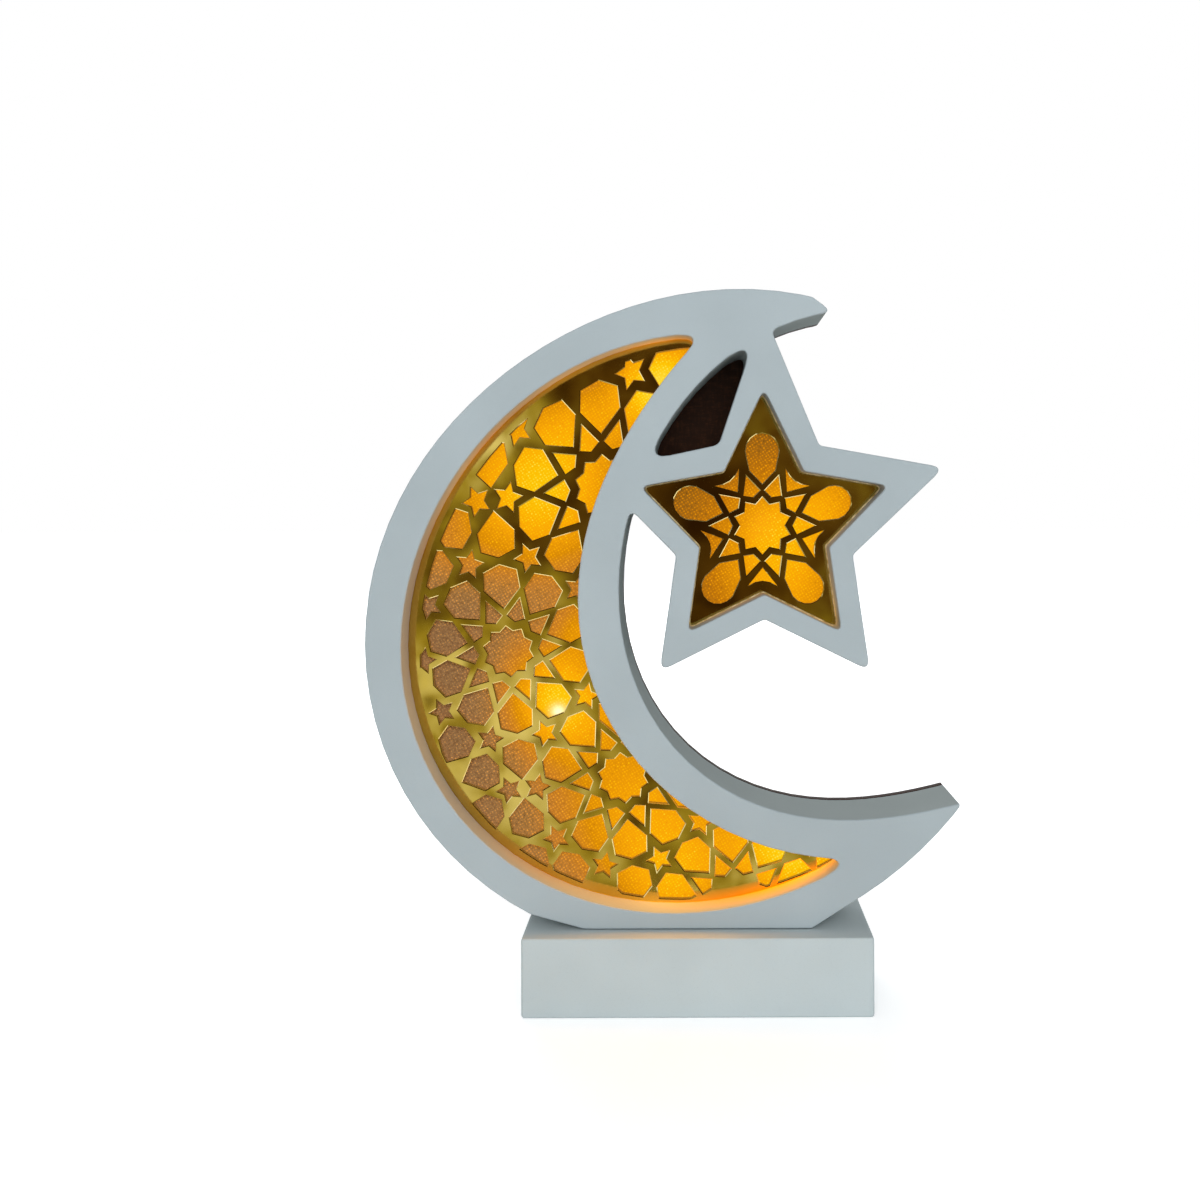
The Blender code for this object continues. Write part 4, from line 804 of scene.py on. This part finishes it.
# %% [markdown]
# The battery box on the back is injection-moulded ABS in off-white, with the fine matt
# spark texture of its mould. The switch is black nylon and the lead has a soft sleeve.


# %% Moulded plastics
def moulded(name, colour, grit, rough):
    """Moulded plastic with a spark-eroded grain: pits one grit apart and a slow haze."""
    made, tree, place = new_material(name)
    pits = node(tree, "ShaderNodeTexNoise", Vector=place, Scale=1 / grit, Detail=4.0)
    haze = node(tree, "ShaderNodeTexNoise", Vector=place, Scale=1 / (15 * MM), Detail=2.0)
    finish_with(tree, (haze, (0.3, linear(colour, 0.95)), (0.7, linear(colour, 1.03))),
                (pits, rough, rough + 0.15), (pits, 0.03 * MM, 0.7), IOR=1.53)
    return made


abs_white = moulded("moulded_abs", "#D5D6D0", 0.35 * MM, 0.38)
nylon = moulded("black_nylon", "#1B1B1D", 0.25 * MM, 0.4)
sleeve = moulded("lead_pvc_sleeve", "#C9C1AE", 0.5 * MM, 0.35)
dress(sleeve, "supply_lead")
dress(copper, "moon_lamp_wire", "star_lamp_wire")
dress(nickel, "contact_plate_1", "contact_plate_2", "contact_spring_1", "contact_spring_2")
print("plastics", abs_white.name, nylon.name, sleeve.name)

# %% [markdown]
# A mould can't have knife edges: plastic has to flow round them and the tool has to last.
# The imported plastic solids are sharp, so each gets a merged copy whose flat faces are
# joined again, with a fine two-step bevel on every edge that turns by more than 40 degrees.


# %% Eased plastic parts
def eased_copy(name, finish, width, body):
    """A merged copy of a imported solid, one face to each flat, with rounded edges."""
    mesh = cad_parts[name].data.copy()
    mesh.name = f"{name}_eased"
    mesh.materials.clear()
    mesh.materials.append(finish)
    shape = bmesh.new()
    shape.from_mesh(mesh)
    bmesh.ops.remove_doubles(shape, verts=shape.verts, dist=0.001 * MM)
    bmesh.ops.dissolve_limit(shape, angle_limit=math.radians(0.5), verts=shape.verts,
                             edges=shape.edges, use_dissolve_boundaries=False)
    shape.to_mesh(mesh)
    shape.free()
    mesh.shade_smooth()
    mesh.set_sharp_from_angle(angle=math.radians(30))
    piece = into_scene(f"{name}_eased", mesh)
    bevel = piece.modifiers.new("ease", "BEVEL")
    bevel.width = width
    bevel.segments = 2
    bevel.limit_method = "ANGLE"
    bevel.angle_limit = math.radians(40)
    bevel.harden_normals = True
    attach(piece, body)
    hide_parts(name)
    print(piece.name, len(mesh.polygons), "faces before the bevel")


eased_copy("battery_box", abs_white, 0.25 * MM, "sign")
eased_copy("battery_door", abs_white, 0.20 * MM, "door")
eased_copy("switch_body", nylon, 0.12 * MM, "sign")
eased_copy("switch_slider", nylon, 0.10 * MM, "slider")

# %% [markdown]
# The lamps are small domes of cast resin, warm and lit from inside, with clouds a
# millimetre wide in them. They sit in the bays behind the light sheets.

# %% Lamp resin
resin = one_grain("cast_lamp_resin", "#FFB33A", "#FFE7A6", 1.0 * MM, gloss=(0.15, 0.3), glow=1.2)
lamps = [f"moon_lamp_{i}" for i in range(1, 9)] + [f"star_lamp_{i}" for i in range(1, 6)]
dress(resin, *lamps)
print("lamps", len(lamps))

# %% [markdown]
# The cells: a steel can with rolled ends inside a shrink sleeve. The sleeve is a plain,
# dark grey-green film, glossy, with 2 mm streaks where it was pulled along the can. It has
# one pale metallised band at the button end and no words.

# %% Shrink sleeve
film = one_grain("shrink_sleeve_film", "#25332F", "#31443E", 2 * MM, (0.2, 0.32),
                 (0.03 * MM, 0.5), pull=(0.15, 1.0, 1.0))
band = plated("metallised_band", "#A98E57", "#C6AC74", 0.3, 0.8 * MM)
print("cell finishes", film.name, band.name)

# %% [markdown]
# Each cell is a profile of radius against length, turned round the can's axis. Half is the
# can's half width and roll the rolled edge at its ends. Every step of the profile has the
# number of its finish: sleeve 0, bare nickel 1 or band 2.

# %% Battery cells
for index in (1, 2):
    low, high = np.array(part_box(f"battery_cell_{index}"))
    middle = (low + high) / 2
    toward = 1 if index == 1 else -1
    foot = low[0] if toward > 0 else high[0]
    half, length, roll = 5.15 * MM, high[0] - low[0], 0.5 * MM
    can = length - 1.0 * MM
    film_end, band_start = can * 0.78, can * 0.7801
    steps = [(0.4 * half, 0.15 * MM, 1), (half - 1.2 * roll, 0.0, 1),
             (half - 0.3 * roll, 0.2 * roll, 1), (half, roll, 0), (half, film_end, 0),
             (half, band_start, 2), (half, can - roll, 2),
             (half - 0.3 * roll, can - 0.2 * roll, 1), (half - 1.2 * roll, can, 1),
             (2.3 * MM, can, 1), (1.9 * MM, can + 0.15 * MM, 1),
             (1.85 * MM, length - 0.15 * MM, 1), (1.6 * MM, length, 1)]
    turn = np.linspace(0, 2 * math.pi, 64, endpoint=False)
    radius, along, kind = (np.array(values) for values in zip(*steps))
    rows = np.stack(np.broadcast_arrays(foot + toward * along[:, None],
                                        middle[1] + radius[:, None] * np.cos(turn),
                                        middle[2] + radius[:, None] * np.sin(turn)), axis=-1)
    patches = [(*grid(rows[at:at + 2], closed=True), int(kind[at]))
               for at in range(len(rows) - 1)]
    patches += [(*fan(row), 1) for row in (rows[0], rows[-1])]
    add_piece(f"cell_{index}", patches, [film, nickel, band],
              nodes=[f"battery_cell_{index}"])

# %% [markdown]
# Stage: a plain pale floor and a white surround. The camera sees the surround and the floor
# as white, as the picture does, and so do mirrors and clear plastics; every other ray gets
# the plain daylight level that paints colours as they are written.


# %% White surround
def seen_directly(tree):
    """1 for camera, glossy and transmission rays, 0 for the light that falls on things."""
    ray = node(tree, "ShaderNodeLightPath").outputs
    seen = node(tree, "ShaderNodeMath", {"operation": "MAXIMUM"}, in_0=ray["Is Camera Ray"],
                in_1=ray["Is Glossy Ray"])
    return node(tree, "ShaderNodeMath", {"operation": "MAXIMUM"}, in_0=seen,
                in_1=ray["Is Transmission Ray"])


AMBIENT = 0.42
world = bpy.data.worlds.new("white_surround")
bpy.context.scene.world = world
world.use_nodes = True
world.node_tree.nodes.clear()
strength = node(world.node_tree, "ShaderNodeMapRange", Value=seen_directly(world.node_tree),
                To_Min=AMBIENT, To_Max=1.0)
sky = node(world.node_tree, "ShaderNodeBackground", Color="#FFFFFF", Strength=strength)
node(world.node_tree, "ShaderNodeOutputWorld", Surface=sky)
print("surround", AMBIENT)

# %% [markdown]
# The floor is matt and nearly white. A light of its own, which only direct looks see, lifts
# it to white. Near the foot that light is weaker, so the shadow there stays in view.

# %% Floor
# The paint has a slow cloudiness of 30 mm.
floor_paint, tree, place = new_material("matt_pale_floor")
dust = node(tree, "ShaderNodeTexNoise", Vector=place, Scale=1 / (30 * MM), Detail=2.0)
away = node(tree, "ShaderNodeVectorMath", {"operation": "LENGTH"}, in_0=place)
white = node(tree, "ShaderNodeMapRange", Value=away, From_Min=0.04, From_Max=0.3,
             To_Min=0.42, To_Max=0.71)
lift = node(tree, "ShaderNodeMath", {"operation": "MULTIPLY"}, in_0=seen_directly(tree),
            in_1=white)
finish_with(tree, (dust, (0.3, "#F0F0EE"), (0.7, "#F3F3F2")), Roughness=0.9,
            Specular_IOR_Level=0.0, Emission_Color="#F8FBFF", Emission_Strength=lift)


def stage_mesh(name, points, faces, finish, seen_by=None):
    """A stage surface. Where seen_by names a kind of ray, only those rays meet it."""
    mesh = bpy.data.meshes.new(name)
    mesh.from_pydata(np.asarray(points).tolist(), [], np.asarray(faces).tolist())
    mesh.materials.append(finish)
    piece = into_scene(name, mesh)
    if seen_by:
        for kind in ("camera", "diffuse", "glossy", "transmission", "volume_scatter", "shadow"):
            setattr(piece, f"visible_{kind}", kind == seen_by)
    return mesh


stage_mesh("floor", [(-6, -6, 0), (6, -6, 0), (6, 6, 0), (-6, 6, 0)], [(0, 1, 2, 3)], floor_paint)
print("floor laid")

# %% [markdown]
# The gold mirror shows the room in front of it. A real one sees a dark room with a pale
# window low on the left, so a card stands 100 mm in front of the gold and shows only in
# reflections. Its pale pools are placed where the picture's gold is pale.

# %% Reflection card
CARD_POOLS = np.array([(-68, 92, 36, 0.5), (-50, 40, 34, 0.28), (25, 35, 36, 0.33),
                       (-72, 187, 13, 0.62), (-78, 158, 20, 0.14), (22, 192, 12, 0.05),
                       (54, 168, 10, 0.1), (40, 126, 16, 0.1), (-40, 130, 18, 0.1),
                       (-53, 190, 10, 0.2), (-92, 108, 7, 0.12), (-80, 112, 6, 0.22),
                       (4, 164, 16, -0.06), (2, 130, 10, -0.04)])
EYE = np.array((-1.25, -411.0, 165.5)) * MM
PANEL_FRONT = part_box("moon_fret_panel")[0][1]
CARD_AT = PANEL_FRONT - 100 * MM
side, up = np.meshgrid(np.linspace(-105, 70, 120) * MM, np.linspace(33, 222, 130) * MM)
panel_places = np.stack((side, up), axis=-1)
nearer = (PANEL_FRONT - CARD_AT) / (PANEL_FRONT - EYE[1])
card_places = panel_places + (panel_places - EYE[::2]) * nearer


def glow_with(tree, tint, strength=1.0):
    """The end of a finish that only gives off light. Tint is (pattern, stop, stop...)."""
    tone = node(tree, "ShaderNodeValToRGB", {"stops": tint[1:]}, Fac=tint[0])
    glowing = node(tree, "ShaderNodeEmission", Color=tone, Strength=strength)
    node(tree, "ShaderNodeOutputMaterial", Surface=glowing)


# Near black, umber, olive, straw and cream by the stored paleness, which a noise of 9 mm
# breaks up.
mirrored_room, tree, place = new_material("dark_room_with_pale_window")
pale = node(tree, "ShaderNodeAttribute", {"attribute_name": "pale"}).outputs["Fac"]
mottle = node(tree, "ShaderNodeTexNoise", Vector=place, Scale=1 / (9 * MM), Detail=2.0)
share = node(tree, "ShaderNodeMapRange", Value=mottle, From_Min=0.3, From_Max=0.7,
             To_Min=0.35, To_Max=1.6)
level = node(tree, "ShaderNodeMath", {"operation": "MULTIPLY"}, in_0=pale, in_1=share)
glow_with(tree, (level, (0.0, "#241008"), (0.09, "#5D4521"), (0.18, "#7C6E38"),
                 (0.33, "#B3A650"), (0.5, "#DDDACC"), (0.9, "#FFFDF6")))
card = stage_mesh("reflection_card", *grid(np.insert(card_places, 1, CARD_AT, axis=2)),
                  mirrored_room, "glossy")
store(card, pale=0.07 + pooled(panel_places.reshape(-1, 2), CARD_POOLS))
print("card", card_places.shape)

# %% [markdown]
# Above and to the right the same room is dark. Two plain sheets there show only in
# reflections too: they keep the lower and right-hand bevels of the gold dark.

# %% Dark hood
# Dim brown, with folds of 120 mm.
cloth, tree, place = new_material("dim_brown_cloth")
folds = node(tree, "ShaderNodeTexNoise", Vector=place, Scale=1 / (120 * MM), Detail=2.0)
glow_with(tree, (folds, (0.3, "#1C120A"), (0.7, "#4A3826")))
near, far, ceiling, left, right = -0.03, -1.4, 0.6, -0.9, 0.7
stage_mesh("hood_above", [(left, far, ceiling), (right, far, ceiling), (right, near, ceiling),
                          (left, near, ceiling)], [(0, 1, 2, 3)], cloth, "glossy")
stage_mesh("hood_right", [(right, far, 0.0), (right, near, 0.0), (right, near, ceiling),
                          (right, far, ceiling)], [(0, 1, 2, 3)], cloth, "glossy")
print("hood hung")

# %% [markdown]
# The lamps throw far more light than a picture can show: the sheet reads as amber although
# it lights the window walls to peach and gold. So a copy of the sheet's glow stands just in
# front of the gold, is met by no camera and no mirror, and lights what is near it.

# %% Glow on the window walls
THROWN = 4.9
# Amber light from the front of each face, by the stored glow, drifting over 20 mm.
amber, tree, place = new_material("amber_lamp_light")
glow = node(tree, "ShaderNodeAttribute", {"attribute_name": "glow"}).outputs["Fac"]
drift = node(tree, "ShaderNodeTexNoise", Vector=place, Scale=1 / (20 * MM), Detail=1.0)
behind = node(tree, "ShaderNodeNewGeometry").outputs["Backfacing"]
power = node(tree, "ShaderNodeMapRange", Value=behind, To_Min=THROWN, To_Max=0.0)
power = node(tree, "ShaderNodeMath", {"operation": "MULTIPLY"}, in_0=power, in_1=glow)
glow_with(tree, (drift, (0.3, "#FFA628"), (0.7, "#FFB440")), power)
MOON_THROWN = np.array([(-10.6, 206, 16, 0.9), (-38, 198, 12, 0.6),
                        (-62, 168, 30, 0.45), (-64, 105, 30, 0.5),
                        (-17.7, 61, 37.3, 0.95), (-7.3, 35.1, 16.6, 0.6),
                        (33.7, 47.8, 21.4, 1.25)])
STAR_THROWN = np.array([(22.2, 156, 40, 0.12), (44, 128, 10, 0.5),
                        (48, 152, 9, 0.3), (8, 126, 9, 0.3)])
level = PANEL_FRONT - 0.3 * MM
moon_copy = grid(np.insert(moon_rows(66, 10), 1, level, axis=2))
star_copy = grid(np.insert(star_rings(60, 6), 1, level, axis=2), closed=True)
for title, copy, pools in (("moon_thrown_light", moon_copy, MOON_THROWN),
                           ("star_thrown_light", star_copy, STAR_THROWN)):
    mesh = stage_mesh(title, *copy, amber, "diffuse")
    if mesh.polygons[0].normal.y > 0:
        mesh.flip_normals()
    store_glow(mesh, pools)
print("thrown light", THROWN)

# %% [markdown]
# Two large soft lights, one in front and one behind, each as wide as a small table. They
# don't show in the mirror, as a studio would keep them out of it.


# %% Soft studio light
def softbox(name, place, target, size, power):
    """A large square light that faces the object."""
    lamp = bpy.data.lights.new(name, "AREA")
    lamp.shape = "SQUARE"
    lamp.size = size
    lamp.energy = power
    made = into_scene(name, lamp)
    made.location = place
    made.rotation_euler = (Vector(target) - Vector(place)).to_track_quat("-Z", "Y").to_euler()
    made.visible_glossy = False
    print(name, power, "watts")


softbox("front_softbox", (0.1, -1.5, 0.55), (0, 0, 0.12), 1.2, 16.5)
softbox("back_softbox", (-0.4, 1.5, 0.8), (0, 0, 0.12), 1.2, 14.0)

# %% [markdown]
# The camera stands where the picture was taken: level, 411 mm in front of the sign and at
# seven tenths of its height, tilted sideways by a fifth of a degree. The picture is 1200
# pixels wide and its focal length 1216 pixels. The frame is shifted, because the lens
# points at a spot to the right of the middle and above it.

# %% Camera
PICTURE, FOCAL, AIM = 1200, 1216.2, (692.3, 499.7)
lens = bpy.data.cameras.new("picture_camera")
lens.sensor_width = 36.0
lens.lens = lens.sensor_width * FOCAL / PICTURE
lens.shift_x = -(AIM[0] - PICTURE / 2) / PICTURE
lens.shift_y = -(PICTURE / 2 - AIM[1]) / PICTURE
camera = into_scene("picture_camera", lens)
camera.location = EYE
camera.rotation_euler = (math.radians(90), math.radians(0.186), 0)
bpy.context.scene.camera = camera
bpy.context.scene.view_settings.view_transform = "Standard"
print("lens", round(lens.lens, 2))
